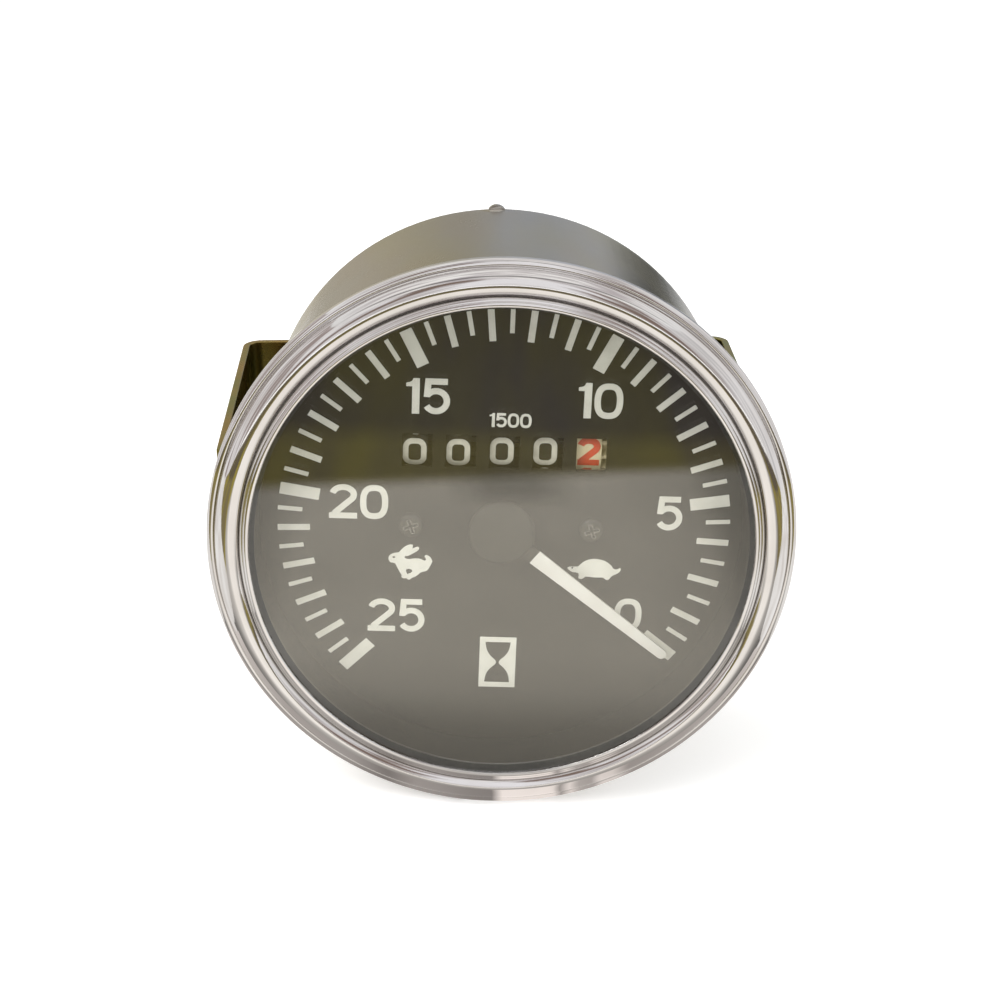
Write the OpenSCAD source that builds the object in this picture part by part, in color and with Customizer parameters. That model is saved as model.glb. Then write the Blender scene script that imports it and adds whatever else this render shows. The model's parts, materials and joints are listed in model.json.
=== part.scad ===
// Tractor rev counter with an hour counter, driven by a flexible cable.
// Frame: the dial faces -Y, +Z is twelve o'clock, the instrument's axis is Y.
// The origin is on the axis, in the plane where the bezel seats on the dash panel.
// "Depth" is measured from that plane rearwards, along +Y.

/* [Case] */
// Outside diameter of the drawn steel can
case_d = 98.6; // [96:0.2:102]
// Wall thickness of the can
case_wall = 0.8; // [0.6:0.1:1]
// Thickness of the can's rear wall
rear_wall = 1; // [0.8:0.1:1.5]
// Corner radius round the can's rear edge
case_corner = 1.5; // [1:0.25:3]
// Width of the can's front flange
flange_w = 4; // [3.5:0.1:4.5]
// Thickness of the front flange
flange_t = 0.8; // [0.6:0.1:1]
// Width of the locating pip at the top of the can's rear edge
pip_w = 3.4; // [2:0.2:6]
// How far the pip stands out of the can
pip_h = 0.9; // [0.5:0.1:1.2]
// Length of the pip along the can
pip_len = 1.2; // [0.8:0.1:3]
// How far the pip sits left of the middle
pip_x = 1.9; // [0:0.1:6]

/* [Bezel] */
// Thickness of the bezel's sheet
bezel_sheet = 0.6; // [0.4:0.1:0.7]
// How far the lip stands in front of the glass
lip_rise = 0.8; // [0.6:0.1:1.2]
// Width of the seat behind the case flange
bezel_seat_w = 3.6; // [2.5:0.1:4]
// How far the lip reaches over the glass
lip_lap = 1.2; // [0.8:0.1:2]
// How far the rear bead stands out beyond the flange
bead_w = 2.1; // [1.9:0.1:2.6]
// How far the main bead bulges forwards
bead_bulge = 2; // [1.2:0.1:2.2]

/* [Glass] */
// Thickness of the flat glass
lens_t = 2.5; // [2:0.1:3]
// Thickness of the rubber seal behind the glass
seal_t = 0.6; // [0.4:0.1:1]
// Radial play between the glass and the can
lens_play = 0.1; // [0.05:0.05:0.3]
// Wall of the black ring between the seal and the dial
inner_ring_w = 2; // [1.2:0.1:2.6]

/* [Dial] */
// Depth of the dial's face
dial_depth = 8.2; // [7.6:0.1:9]
// Thickness of the dial plate
dial_t = 1; // [0.8:0.1:1.2]
// Radial play between the dial and the can
dial_play = 0.6; // [0.3:0.1:1]
// Distance of each dial screw from the axis
dial_screw_x = 17.4; // [17:0.1:17.6]
// Width of one counter window
window_w = 5.74; // [5:0.02:6.4]
// Height of one counter window
window_h = 6.6; // [5:0.1:7]
// Radius of the hole for the pointer's spindle
dial_hole_r = 2.6; // [2:0.1:3.4]

/* [Pointer] */
// Length of the pointer from the axis to its tip
pointer_len = 42; // [36:0.5:43]
// Width of the pointer where it leaves the cap
pointer_w = 3.1; // [2.4:0.1:3.6]
// Width of the pointer at its tip
pointer_tip_w = 2; // [1.4:0.1:2.4]
// Thickness of the pointer
pointer_t = 0.5; // [0.4:0.1:0.8]
// Clear height of the pointer above the dial
pointer_clear = 2.1; // [1.6:0.1:2.4]
// Radius of the pointer's cap
cap_r = 6.4; // [5:0.1:7]
// Height of the cap in front of the pointer
cap_h = 1.1; // [0.8:0.1:1.6]
// Angle of the pointer at rest, from three o'clock, anticlockwise from the front
rest_angle = -39.5; // [-40:0.5:-38]
// Sweep of the pointer from its lower stop to its upper stop
sweep = 266; // [260:1:268]
// Radius of the pointer's spindle
spindle_r = 0.8; // [0.7:0.05:0.9]

/* [Counter] */
// Height of the counter's drums above the axis
counter_z = 15.2; // [15:0.1:15.6]
// Number of drums
drums = 5; // [5:1:5]
// Room between two drums' faces, for a carry gear and a carry rim
drum_space = 2.67; // [2.6:0.01:2.9]
// Radius of a drum's printed face
drum_r = 9.5; // [9.3:0.1:9.7]
// Width of a drum's printed face
drum_w = 5.6; // [5.5:0.05:5.7]
// How far a drum's face reaches left of its window's middle
drum_left = 3.6; // [3.5:0.05:3.7]
// Gap between the dial and the drums
drum_gap = 0.5; // [0.4:0.1:1]
// Gap between the drums and the web of the counter frame
counter_gap = 0.5; // [0.4:0.1:1]
// Radius of the drums' shaft
drum_shaft_r = 1.2; // [1:0.05:1.3]
// How far a carry gear's pitch circle lies inside the drum's face
carry_inset = 1; // [0.9:0.05:1.1]
// Teeth of a drum's carry gear
carry_teeth = 20; // [20:1:20]
// Teeth of a carry pinion
pinion_teeth = 8; // [8:1:8]
// Thickness of a drum's carry gear
carry_t = 1.4; // [1.2:0.1:1.5]
// Radius of a drum's carry rim
carry_rim_r = 6.2; // [6:0.1:6.4]
// Direction of the carry pinions from the drums, back from straight up
pinion_lean = 20.5; // [15:0.5:25]
// Radius of the carry pinions' shaft
pinion_shaft_r = 0.9; // [0.7:0.05:1.1]
// Thickness of the counter frame's sheet
counter_sheet = 1.2; // [1:0.1:1.3]

/* [Reduction train] */
// Teeth of the wheel that the drive shaft's worm turns
cross_teeth = 25; // [25:1:25]
// Tooth size of that wheel
cross_module = 0.44; // [0.42:0.01:0.45]
// Teeth of the lay shaft's wheel
lay_teeth = 45; // [45:1:45]
// Tooth size of the lay shaft's wheel
lay_module = 0.46; // [0.45:0.01:0.47]
// Teeth of the counter's wheel
hour_teeth = 40; // [40:1:40]
// Pitch radius of the drive shaft's worm
drive_worm_r = 3; // [2.9:0.05:3.1]
// Pitch radius of the cross shaft's worm
cross_worm_r = 2.75; // [2.6:0.05:2.9]
// Pitch radius of the lay shaft's worm
lay_worm_r = 2.6; // [2.5:0.05:2.8]
// Thickness of the three worm wheels
wheel_t = 2; // [1.6:0.1:2.2]
// Radius of the cross shaft and of the lay shaft
train_shaft_r = 1.2; // [1:0.05:1.4]
// Gap between the field cup and the cross shaft's wheel
train_gap = 1.4; // [1:0.1:2]
// Gap between the cross shaft's wheel and the cast base
base_gap = 0.5; // [0.4:0.1:2]

/* [Movement] */
// Thickness of the front plate
front_plate_t = 1.5; // [1.2:0.1:1.8]
// Thickness of the cast base
base_t = 3; // [2.5:0.1:3.2]
// Half width of the movement's plates
plate_x = 31; // [30:0.5:33]
// Upper edge of the movement's plates, above the axis
plate_top = 30; // [29:0.5:31]
// Lower edge of the movement's plates, below the axis
plate_low = 28; // [27:0.5:33]
// Radius of a frame pillar
pillar_r = 2.5; // [2:0.1:3]
// Radius of a dial pillar
dial_pillar_r = 2.9; // [2.5:0.1:3]
// Distance of the frame pillars from the plates' edges
pillar_inset = 4; // [3.5:0.5:5]
// Outer radius of the ring magnet
magnet_r = 13.3; // [12:0.1:13.5]
// Length of the ring magnet
magnet_len = 5.2; // [4:0.1:5.4]
// Air gap on each side of the drag cup's wall
magnet_gap = 0.9; // [0.7:0.1:1]
// Wall of the drag cup
drag_wall = 0.5; // [0.4:0.1:0.6]
// Wall of the field cup
field_wall = 1; // [0.8:0.1:1.4]
// Turns of the hairspring
spring_turns = 3.5; // [2.5:0.5:4.5]
// Thickness of the hairspring's strip
spring_strip = 0.25; // [0.2:0.05:0.35]

/* [Cable drive] */
// Outside diameter of the spigot's thread
spigot_d = 18; // [16:1:20]
// How far the spigot stands out behind the can
spigot_len = 17.6; // [16:0.2:22]
// Radius of the seat for the cable's ferrule
ferrule_r = 6.2; // [5.5:0.1:6.8]
// Length of the seat for the cable's ferrule
ferrule_len = 6; // [4:0.5:8]
// Thickness of the spigot's flange
spigot_flange_t = 2.5; // [2:0.1:3]
// Radius of the drive shaft in its bush
journal_r = 3; // [2.8:0.05:3.2]
// Radius of the drive shaft between the worm and the magnet
drive_r = 2.2; // [2:0.05:2.3]
// Wall of the bronze bush
bush_wall = 1.5; // [1:0.1:1.8]
// Side of the square socket for the cable's core
socket_w = 2.7; // [2.6:0.05:3.2]
// Length of the square socket
socket_len = 12; // [8:0.5:16]

/* [Strap] */
// Thickness of the clamp strap
strap_t = 1.5; // [1.2:0.1:2]
// Width of the strap
strap_w = 34; // [28:1:40]
// Gap between the case and a strap arm
strap_gap = 2.6; // [2.5:0.1:5]
// Sideways play that the strap has taken up on its slots
strap_shift = 2.2; // [0:0.1:2.2]
// Angle that the strap has turned, anticlockwise from the front
strap_turn = 2.4; // [0:0.2:2.6]
// Angle past square to which the left arm is bent
strap_lean = 1.8; // [0:0.1:2.2]
// Depth of the arms' feet
strap_feet = 6; // [4:0.5:10]
// Gap between the case and the strap's crossbar
strap_back = 11; // [9:0.5:12]
// Outer radius of the strap's bends
strap_bend = 4; // [3:0.5:6]
// Radius of the hole round the spigot
strap_hole_r = 15; // [14:0.5:16]
// Distance of the studs from the axis
stud_x = 30; // [29:0.5:32]
// Radius of a stud
stud_r = 2.5; // [2.4:0.1:3]
// Length of thread that shows beyond the strap's nuts
stud_spare = 6.1; // [3:0.1:10]
// Half height of a stud's slot in the strap
slot_r = 4; // [3.9:0.1:4.4]

/* [Lamp] */
// Distance of the dial lamp's axis inside the can's wall
lamp_inset = 10.5; // [9.5:0.5:11.5]
// Radius of the lamp holder in the can's wall
lamp_r = 6.2; // [5:0.1:6.4]
// How far the lamp holder stands out of the can
lamp_out = 10; // [8:0.5:14]
// Radius of the bulb
bulb_r = 4.2; // [3:0.1:4.4]
// Length of the bulb
bulb_len = 15; // [12:0.5:18]
// Width of a push-on blade
blade_w = 6.3; // [4.8:1.5:6.3]
// Thickness of a push-on blade
blade_t = 0.8; // [0.8:0.1:1]
// Length of a push-on blade
blade_len = 8; // [7:0.5:9]

/* [Fits] */
// Radial clearance of a shaft that runs in a hole
running = 0.05; // [0.03:0.01:0.08]
// Clearance between pieces that pass each other
clear = 0.3; // [0.25:0.05:0.4]
// Clearance of a screw or stud in a plain hole
screw_play = 0.1; // [0.05:0.05:0.3]

/* [Fasteners] */
// Thread radius of the small screws
screw_r = 1.5; // [1.3:0.1:1.6]
// Head radius of the small screws
screw_head_r = 2.5; // [2.4:0.1:2.8]
// Head height of the small screws
screw_head_h = 1.3; // [1.1:0.1:1.6]
// Depth that a small screw reaches into its pillar
screw_bite = 6; // [4:0.5:7]
// Height of a stud nut
nut_h = 4; // [3:0.5:5]
// Width across the flats of a stud nut
nut_w = 8; // [8:0.5:10]
// Radius of a washer
washer_r = 7; // [6.5:0.5:8]
// Thickness of a washer
washer_t = 1; // [0.8:0.1:1.2]

/* [Hidden] */
$fn = 72;
small = 0.01;

// Case and glass
case_r = case_d / 2;
case_in = case_r - case_wall;
flange_r = case_r + flange_w;
flange_rear = -bezel_sheet;
flange_front = flange_rear - flange_t;
lens_r = case_in - lens_play;
lens_rear = flange_front - seal_t;
lens_front = lens_rear - lens_t;
inner_ring_r = case_in - lens_play;
inner_corner = 0.7;
flange_hole_play = 0.4;

// Bezel: its radii, its front, and the radius and depth of the creases between its beads
lip_r = lens_r - lip_lap;
bezel_r = flange_r + bead_w;
bezel_front = lens_front - lip_rise;
lip_round = 0.45;
rear_bead_r = 0.95;
crease_in = lens_r + bezel_sheet + 0.1;
crease_in_y = lens_rear - 0.7;
crease_out = flange_r + bezel_sheet;
crease_out_y = flange_front - bezel_sheet;

// Dial and pointer
dial_rear = dial_depth + dial_t;
pointer_rear = dial_depth - pointer_clear;
pointer_front = pointer_rear - pointer_t;
cap_front = pointer_front - cap_h;
cap_edge = 0.7;
white_from = 8.4;
spindle_in_cap = 0.5;
spindle_front = pointer_front - spindle_in_cap;

// Counter
drum_depth = dial_rear + drum_gap + drum_r;
drum_right = drum_w - drum_left;
drum_pitch = drum_w + drum_space;
drum_play = 0.47;
drum_web = 1;
drum_hub_wall = 1.4;
carry_rim_t = drum_space - carry_t - drum_play;
carry_rim_wall = 1.2;
carry_tooth = 1;
carry_r = drum_r - carry_inset;
carry_module = 2 * carry_r / carry_teeth;
pinion_r = carry_module * pinion_teeth / 2;
pinion_gap = carry_r + pinion_r;
pinion_depth = drum_depth + pinion_gap * sin(pinion_lean);
pinion_z = counter_z + pinion_gap * cos(pinion_lean);
counter_span = drum_pitch * (drums - 1);
frame_left = -counter_span / 2 - drum_left - carry_rim_t - clear;
frame_right = counter_span / 2 + drum_right + carry_t + clear;
frame_margin = 3.2;
shaft_end = 0.8;
counter_back = drum_depth + drum_r + counter_gap;

// Movement, from the counter frame's web rearwards
front_plate_depth = counter_back + counter_sheet;
front_plate_rear = front_plate_depth + front_plate_t;
pillar_x = plate_x - pillar_inset;
pillar_spots = [for (x = [-1, 1], z = [plate_top - pillar_inset, pillar_inset - plate_low])
    [x * pillar_x, z]];
hole_spare = 1;
bush_r = 2.5;
stop_t = 1;
stop_arm_t = 0.7;
stop_arm_w = 1;
stop_arm_r = 4.6;
stop_in = 3;
stop_margin = 10.5;
spring_w = 0.6;
spring_depth = front_plate_rear + stop_t + 0.8;
collet_r = 2.1;
spring_in = collet_r + clear + spring_strip / 2;
spring_step = 1.25;
drag_front = spring_depth + spring_w + 2.2;
drag_r = magnet_r + magnet_gap;
field_r = drag_r + drag_wall + magnet_gap;
drive_front = drag_front + drag_wall + 0.5;
pivot_len = 3.6;
magnet_front = drive_front + 1;
magnet_rear = magnet_front + magnet_len;
field_rear = magnet_rear + field_wall;

// Reduction train: sizes of the wheels, then their places from the drive shaft to the counter
tooth_high = 0.8;
cross_r = cross_module * cross_teeth / 2;
lay_r = lay_module * lay_teeth / 2;
cross_z = -drive_worm_r - cross_r;
lay_z = cross_z + cross_worm_r + lay_r;
hour_r = counter_z - lay_z - lay_worm_r;
hour_module = 2 * hour_r / hour_teeth;
cross_swing = ceil(10 * (cross_r + tooth_high * cross_module)) / 10;
train_depth = field_rear + train_gap + cross_swing;
hub_out = 0.6;
hub_wall = 1.2;
web_in = 0.5;
wheel_x = frame_right + counter_sheet + hub_out + 0.4 + wheel_t / 2;
worm_turns = 4;
lug_reach = 6;
lug_t = 2;
lug_w = 6.4;
cross_left = -lug_reach;
cross_right = wheel_x + lug_reach;

// Rear of the case, behind the train
base_front = train_depth + cross_swing + base_gap;
base_lap = 2;
case_inside = base_front + base_t;
case_depth = case_inside + rear_wall;

// Cable drive
spigot_r = spigot_d / 2;
neck_r = spigot_r - 1;
thread_relief = 1.5;
spigot_end = case_depth + spigot_len;
ferrule_seat = spigot_end - ferrule_len;
flange_end = case_depth + spigot_flange_t;
spigot_screw_r = spigot_r + screw_head_r + 1;
spigot_flange_r = spigot_screw_r + screw_head_r + 1;
spigot_screw_angles = [90, 210, 330];
drive_rear = ferrule_seat - clear;
bush_r_out = journal_r + running + bush_wall;

// Strap
arm_in = case_r + strap_gap;
arm_out = arm_in + strap_t;
crossbar = case_depth + strap_back;
crossbar_rear = crossbar + strap_t;
stud_end = crossbar_rear + washer_t + nut_h + stud_spare;
stud_chamfer = 0.6;

// Lamp and earth blade
lamp_z = case_in - lamp_inset;
lamp_end = case_depth + lamp_out;
lamp_in = 6;
blade_hole_r = 0.85;

// Points along an arc: middle, radius, and the angles from first to last
function arc(mid, r, a0, a1, n) =
    [for (i = [0:n]) let (a = a0 + (a1 - a0) * i / n) [mid[0] + r * cos(a), mid[1] + r * sin(a)]];

// Points along an arc from p to q that bulges by h to the right of the way
function bulge(p, q, h, n) =
    let (w = norm(q - p),
         r = (w * w / 4 + h * h) / (2 * h),
         along = (q - p) / w,
         side = [along[1], -along[0]],
         mid = (p + q) / 2 + side * (h - r),
         half = asin(w / 2 / r))
    [for (i = [0:n]) let (a = half * (2 * i / n - 1)) mid + r * (along * sin(a) + side * cos(a))];

// Outline of a gear with plain sided teeth. One tooth is centred on the angle start.
// thick is a tooth's share of the pitch, high and deep are its reach in modules.
function gear_points(teeth, module_mm, start, thick, high, deep) =
    let (r = teeth * module_mm / 2, step = 360 / teeth, tip = thick * 0.55, foot = thick * 1.45)
    [for (i = [0:teeth - 1], s = [[r - deep * module_mm, -foot], [r + high * module_mm, -tip],
                                 [r + high * module_mm, tip], [r - deep * module_mm, foot]])
        let (a = start + step * (i + s[1] / 2)) [s[0] * cos(a), s[0] * sin(a)]];

// Cuts the holes of the spigot's three screws, or stands something at them
module at_spigot_screws() {
    for (a = spigot_screw_angles) translate([spigot_screw_r * cos(a), 0, spigot_screw_r * sin(a)]) children();
}

// Lays a drawing of the dial plane at a depth. Its third axis points at the viewer.
module facing(depth) translate([0, depth, 0]) rotate([90, 0, 0]) children();

// A plate with its front face at a depth, from a drawing of the dial plane
module plate(depth, thick) facing(depth + thick) linear_extrude(thick) children();

// Stands a turned piece on the instrument's axis. Its third axis points rearwards.
module turned() rotate([-90, 0, 0]) rotate_extrude($fn = 120) children();

// A round bar along the instrument's axis, between two depths
module bar(x, z, from, to, r) translate([x, from, z]) rotate([-90, 0, 0]) cylinder(h = to - from, r = r);

// Puts a piece on an axis that runs to the right. Its third axis points right.
module sideways(x, depth, z) translate([x, depth, z]) rotate([0, 90, 0]) children();

module rounded(w, h, r) {
    square([w - 2 * r, h], center = true);
    square([w, h - 2 * r], center = true);
    for (x = [-1, 1], y = [-1, 1]) translate([x * (w / 2 - r), y * (h / 2 - r)]) circle(r);
}

// The thread of a worm round the third axis. It meets the wheel at the angle meet.
module worm_thread(module_mm, pitch_r, turns, meet) {
    lead = PI * module_mm;
    steps = 14;
    half = ceil(turns * steps / 2);
    foot_r = pitch_r - 1.1 * module_mm - 0.25;
    tip_r = pitch_r + tooth_high * module_mm;
    profile = [[foot_r, -0.32], [tip_r, -0.11], [tip_r, 0.11], [foot_r, 0.32]];
    rings = 2 * half + 1;
    points = [for (i = [-half:half], p = profile)
        let (a = meet + 360 * i / steps) [p[0] * cos(a), p[0] * sin(a), lead * (i / steps + p[1])]];
    sides = [for (i = [0:rings - 2], j = [0:3], k = [0, 1])
        let (a = 4 * i + j, b = 4 * i + (j + 1) % 4) k == 0 ? [a, b, a + 4] : [b, b + 4, a + 4]];
    last = 4 * (rings - 1);
    ends = [[0, 2, 1], [0, 3, 2], [last, last + 1, last + 2], [last, last + 2, last + 3]];
    polyhedron(points, concat(sides, ends));
}

// The worm's core, which the thread stands on
module worm_core(module_mm, pitch_r, turns) {
    len = PI * module_mm * (turns + 1.4);
    translate([0, 0, -len / 2]) cylinder(h = len, r = pitch_r - 1.1 * module_mm);
}

// The head of a small screw, with a cross recess
module pan_head() {
    crown = 0.36 * screw_head_r;
    recess = [1.12 * screw_head_r, 0.24 * screw_head_r, screw_head_h];
    difference() {
        rotate_extrude() polygon(concat([[0, 0], [screw_head_r, 0]],
            arc([screw_head_r - crown, screw_head_h - crown], crown, 0, 90, 5), [[0, screw_head_h]]));
        translate([0, 0, screw_head_h]) for (a = [0, 90]) rotate([0, 0, a + 20])
            cube(recess, center = true);
    }
}

module case_can() {
    pip_bow = (pip_w * pip_w / 4 + pip_h * pip_h) / (2 * pip_h);
    pip_half = asin(pip_w / 2 / pip_bow);
    pip_root = pip_bow - pip_h - case_wall / 2;
    color([0.62, 0.61, 0.59]) difference() {
        union() {
            turned() polygon(concat(
                [[case_in, flange_front], [flange_r, flange_front], [flange_r, flange_rear],
                 [case_r, flange_rear]],
                arc([case_r - case_corner, case_depth - case_corner], case_corner, 0, 90, 8),
                [[0, case_depth], [0, case_inside], [case_in - inner_corner, case_inside],
                 [case_in, case_inside - inner_corner]]));
            translate([-pip_x, case_depth - case_corner / 2, case_r + pip_h - pip_bow])
                rotate([90, 0, 0]) linear_extrude(pip_len) polygon(concat(
                    [[-pip_w / 2, pip_root], [pip_w / 2, pip_root]],
                    arc([0, 0], pip_bow, 90 - pip_half, 90 + pip_half, 8)));
        }
        bar(0, 0, case_inside - 1, case_depth + 1, neck_r);
        for (s = [-1, 1]) bar(s * stud_x, 0, case_inside - 1, case_depth + 1, stud_r);
        at_spigot_screws() bar(0, 0, case_inside - 1, case_depth + 1, screw_r);
        bar(0, lamp_z, case_inside - 1, case_depth + 1, lamp_r);
        bar(0, -lamp_z, case_inside - 1, case_depth + 1, screw_r);
    }
}

// The chromed ring: lip over the glass, main bead, rear bead and the edge rolled over the flange
module bezel() {
    lip_step = [lip_r + 1.1, bezel_front + 0.35];
    face = concat(
        [[lip_r, lens_front]],
        arc([lip_r + lip_round, lens_front - 0.3], lip_round, 180, 232, 2),
        bulge([lip_r + 0.35, bezel_front + 0.12], lip_step, 0.12, 3),
        bulge(lip_step + [0.06, 0.1], [crease_in - 0.12, crease_in_y - 0.2], 0.32, 4),
        [[crease_in, crease_in_y]],
        bulge([crease_in + 0.12, crease_in_y - 0.25], [crease_out - 0.1, crease_out_y - 0.12],
              bead_bulge, 12),
        [[crease_out, crease_out_y]],
        arc([bezel_r - rear_bead_r, flange_rear - 0.9], rear_bead_r, 240, 360, 6),
        [[bezel_r, flange_rear], [bezel_r - 0.25, -0.25], [bezel_r - 0.6, 0]]);
    back = [[flange_r - bezel_seat_w, 0], [flange_r - bezel_seat_w, flange_rear],
            [flange_r, flange_rear], [flange_r, flange_front],
            [crease_out - 0.9, crease_out_y + 0.15], [crease_out - 1.8, crease_out_y - 0.9],
            [crease_in + 1.6, crease_in_y - 0.9], [crease_in + 0.7, crease_in_y + 0.4],
            [crease_in - 0.5, crease_in_y + 0.4], [lens_r, crease_in_y - 0.3], [lens_r, lens_front]];
    color([0.85, 0.85, 0.87]) turned() polygon(concat(face, back));
}

module lens() {
    color([0.8, 0.85, 0.85, 0.25]) bar(0, 0, lens_front, lens_rear, lens_r);
}

module lens_seal() {
    color([0.08, 0.08, 0.08]) difference() {
        bar(0, 0, lens_rear, flange_front, case_in + flange_hole_play);
        bar(0, 0, lens_rear - 1, flange_front + 1, inner_ring_r - inner_ring_w);
    }
}

module inner_ring() {
    color([0.05, 0.05, 0.05]) difference() {
        bar(0, 0, flange_front, dial_depth, inner_ring_r);
        bar(0, 0, flange_front - 1, dial_depth + 1, inner_ring_r - inner_ring_w);
    }
}

module dial_plate() {
    color([0.16, 0.16, 0.15]) difference() {
        plate(dial_depth, dial_t) circle(case_in - dial_play);
        for (i = [0:drums - 1]) plate(dial_depth - 1, dial_t + 2)
            translate([drum_pitch * i - counter_span / 2, counter_z])
                square([window_w, window_h], center = true);
        bar(0, 0, dial_depth - 1, dial_rear + 1, dial_hole_r);
        for (s = [-1, 1]) bar(s * dial_screw_x, 0, dial_depth - 1, dial_rear + 1, screw_r + screw_play);
    }
}

module dial_screws() {
    color([0.18, 0.18, 0.17]) for (s = [-1, 1]) {
        facing(dial_depth) translate([s * dial_screw_x, 0, 0]) pan_head();
        bar(s * dial_screw_x, 0, dial_depth, dial_rear + screw_bite, screw_r);
    }
}

module pointer() {
    tip = pointer_len - pointer_tip_w / 2;
    color([0.9, 0.88, 0.82]) difference() {
        plate(pointer_front, pointer_t) rotate(rest_angle) union() {
            circle(cap_r - 1);
            polygon(concat([[0, -pointer_w / 2], [white_from, -pointer_w / 2]],
                arc([tip, 0], pointer_tip_w / 2, -90, 90, 10),
                [[white_from, pointer_w / 2], [0, pointer_w / 2]]));
        }
        bar(0, 0, pointer_front - 1, pointer_rear + 1, spindle_r);
    }
}

module pointer_cap() {
    color([0.14, 0.14, 0.14]) difference() {
        turned() polygon(concat([[0, pointer_front], [0, cap_front], [cap_r - cap_edge, cap_front]],
            arc([cap_r - cap_edge, cap_front + cap_edge], cap_edge, -90, 0, 5), [[cap_r, pointer_front]]));
        bar(0, 0, spindle_front, pointer_front + 1, spindle_r);
    }
}

// The pointer's spindle: pointer seat, collet with the stop arm, drag cup seat and rear pivot
module pointer_spindle() {
    seat_r = 1.5;
    seat_end = pointer_rear + 1.2;
    collet_end = spring_depth + spring_w + 0.4;
    drag_hub = 1.6;
    drag_hub_front = drag_front - 0.8;
    pivot = drive_front + pivot_len;
    color([0.6, 0.6, 0.62]) union() {
        turned() polygon([[0, spindle_front], [spindle_r, spindle_front], [spindle_r, pointer_rear],
            [seat_r, pointer_rear], [seat_r, seat_end], [spindle_r, seat_end],
            [spindle_r, front_plate_rear + clear], [collet_r, front_plate_rear + clear],
            [collet_r, collet_end], [spindle_r, collet_end],
            [spindle_r, drag_hub_front], [drag_hub, drag_hub_front], [drag_hub, drag_front],
            [spindle_r, drag_front], [spindle_r, pivot], [0, pivot + spindle_r / 2]]);
        plate(front_plate_rear + clear, stop_arm_t) rotate(rest_angle) translate([0, -stop_arm_w / 2])
            square([stop_arm_r, stop_arm_w]);
    }
}

module drag_cup() {
    rear = magnet_rear - 0.6;
    color([0.75, 0.75, 0.76]) turned() polygon([[spindle_r, drag_front], [drag_r + drag_wall, drag_front],
        [drag_r + drag_wall, rear], [drag_r, rear], [drag_r, drag_front + drag_wall],
        [spindle_r, drag_front + drag_wall]]);
}

// A flat spiral strip. Its outer end butts on the stud.
module hairspring() {
    n = 20 * spring_turns;
    function spiral(side) = [for (i = [0:n]) let (a = 360 * spring_turns * i / n,
        r = spring_in + spring_step * a / 360 + side * spring_strip / 2) [r * cos(a), r * sin(a)]];
    inner = spiral(-1);
    outer = spiral(1);
    color([0.7, 0.55, 0.3]) plate(spring_depth, spring_w)
        polygon(concat(inner, [for (i = [n:-1:0]) outer[i]]));
}

module spring_stud() {
    r = spring_in + spring_step * spring_turns;
    end = 360 * spring_turns;
    block = 1.4;
    color([0.72, 0.6, 0.35]) plate(front_plate_rear, spring_depth + spring_w - front_plate_rear)
        rotate(end) translate([r, block / 2]) square([1.6, block], center = true);
}

// The upper plate, with the stop block for the pointer's sweep on its rear face
module front_plate() {
    stop_mid = rest_angle + sweep / 2 + 180;
    stop_half = (360 - sweep) / 2 - stop_margin;
    color([0.72, 0.66, 0.45]) union() {
        difference() {
            plate(front_plate_depth, front_plate_t) translate([0, (plate_top - plate_low) / 2])
                rounded(2 * plate_x, plate_top + plate_low, 4);
            bar(0, 0, front_plate_depth - 1, front_plate_rear + 1, bush_r);
            bar(wheel_x, lay_z, front_plate_depth - 1, front_plate_rear + 1, train_shaft_r + running);
            for (p = pillar_spots) bar(p[0], p[1], front_plate_depth - 1, front_plate_rear + 1, screw_r);
        }
        plate(front_plate_rear, stop_t) polygon(concat(arc([0, 0], stop_in, stop_mid - stop_half,
            stop_mid + stop_half, 8), arc([0, 0], stop_arm_r + 0.6, stop_mid + stop_half,
            stop_mid - stop_half, 8)));
    }
}

module front_bush() {
    color([0.75, 0.6, 0.3]) difference() {
        bar(0, 0, front_plate_depth - 1, front_plate_rear, bush_r);
        bar(0, 0, front_plate_depth - 2, front_plate_rear + 1, spindle_r + running);
    }
}

module dial_pillars() {
    color([0.7, 0.7, 0.72]) for (s = [-1, 1]) difference() {
        bar(s * dial_screw_x, 0, dial_rear, front_plate_depth, dial_pillar_r);
        bar(s * dial_screw_x, 0, dial_rear - 1, dial_rear + screw_bite + hole_spare, screw_r);
    }
}

module frame_pillars() {
    color([0.7, 0.7, 0.72]) for (p = pillar_spots) difference() {
        bar(p[0], p[1], front_plate_rear, base_front, pillar_r);
        bar(p[0], p[1], front_plate_rear - 1, front_plate_rear + screw_bite + hole_spare, screw_r);
    }
}

module frame_screws() {
    color([0.65, 0.62, 0.5]) for (p = pillar_spots) {
        facing(front_plate_depth) translate([p[0], p[1], 0]) pan_head();
        bar(p[0], p[1], front_plate_depth, front_plate_rear + screw_bite, screw_r);
    }
}

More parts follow.
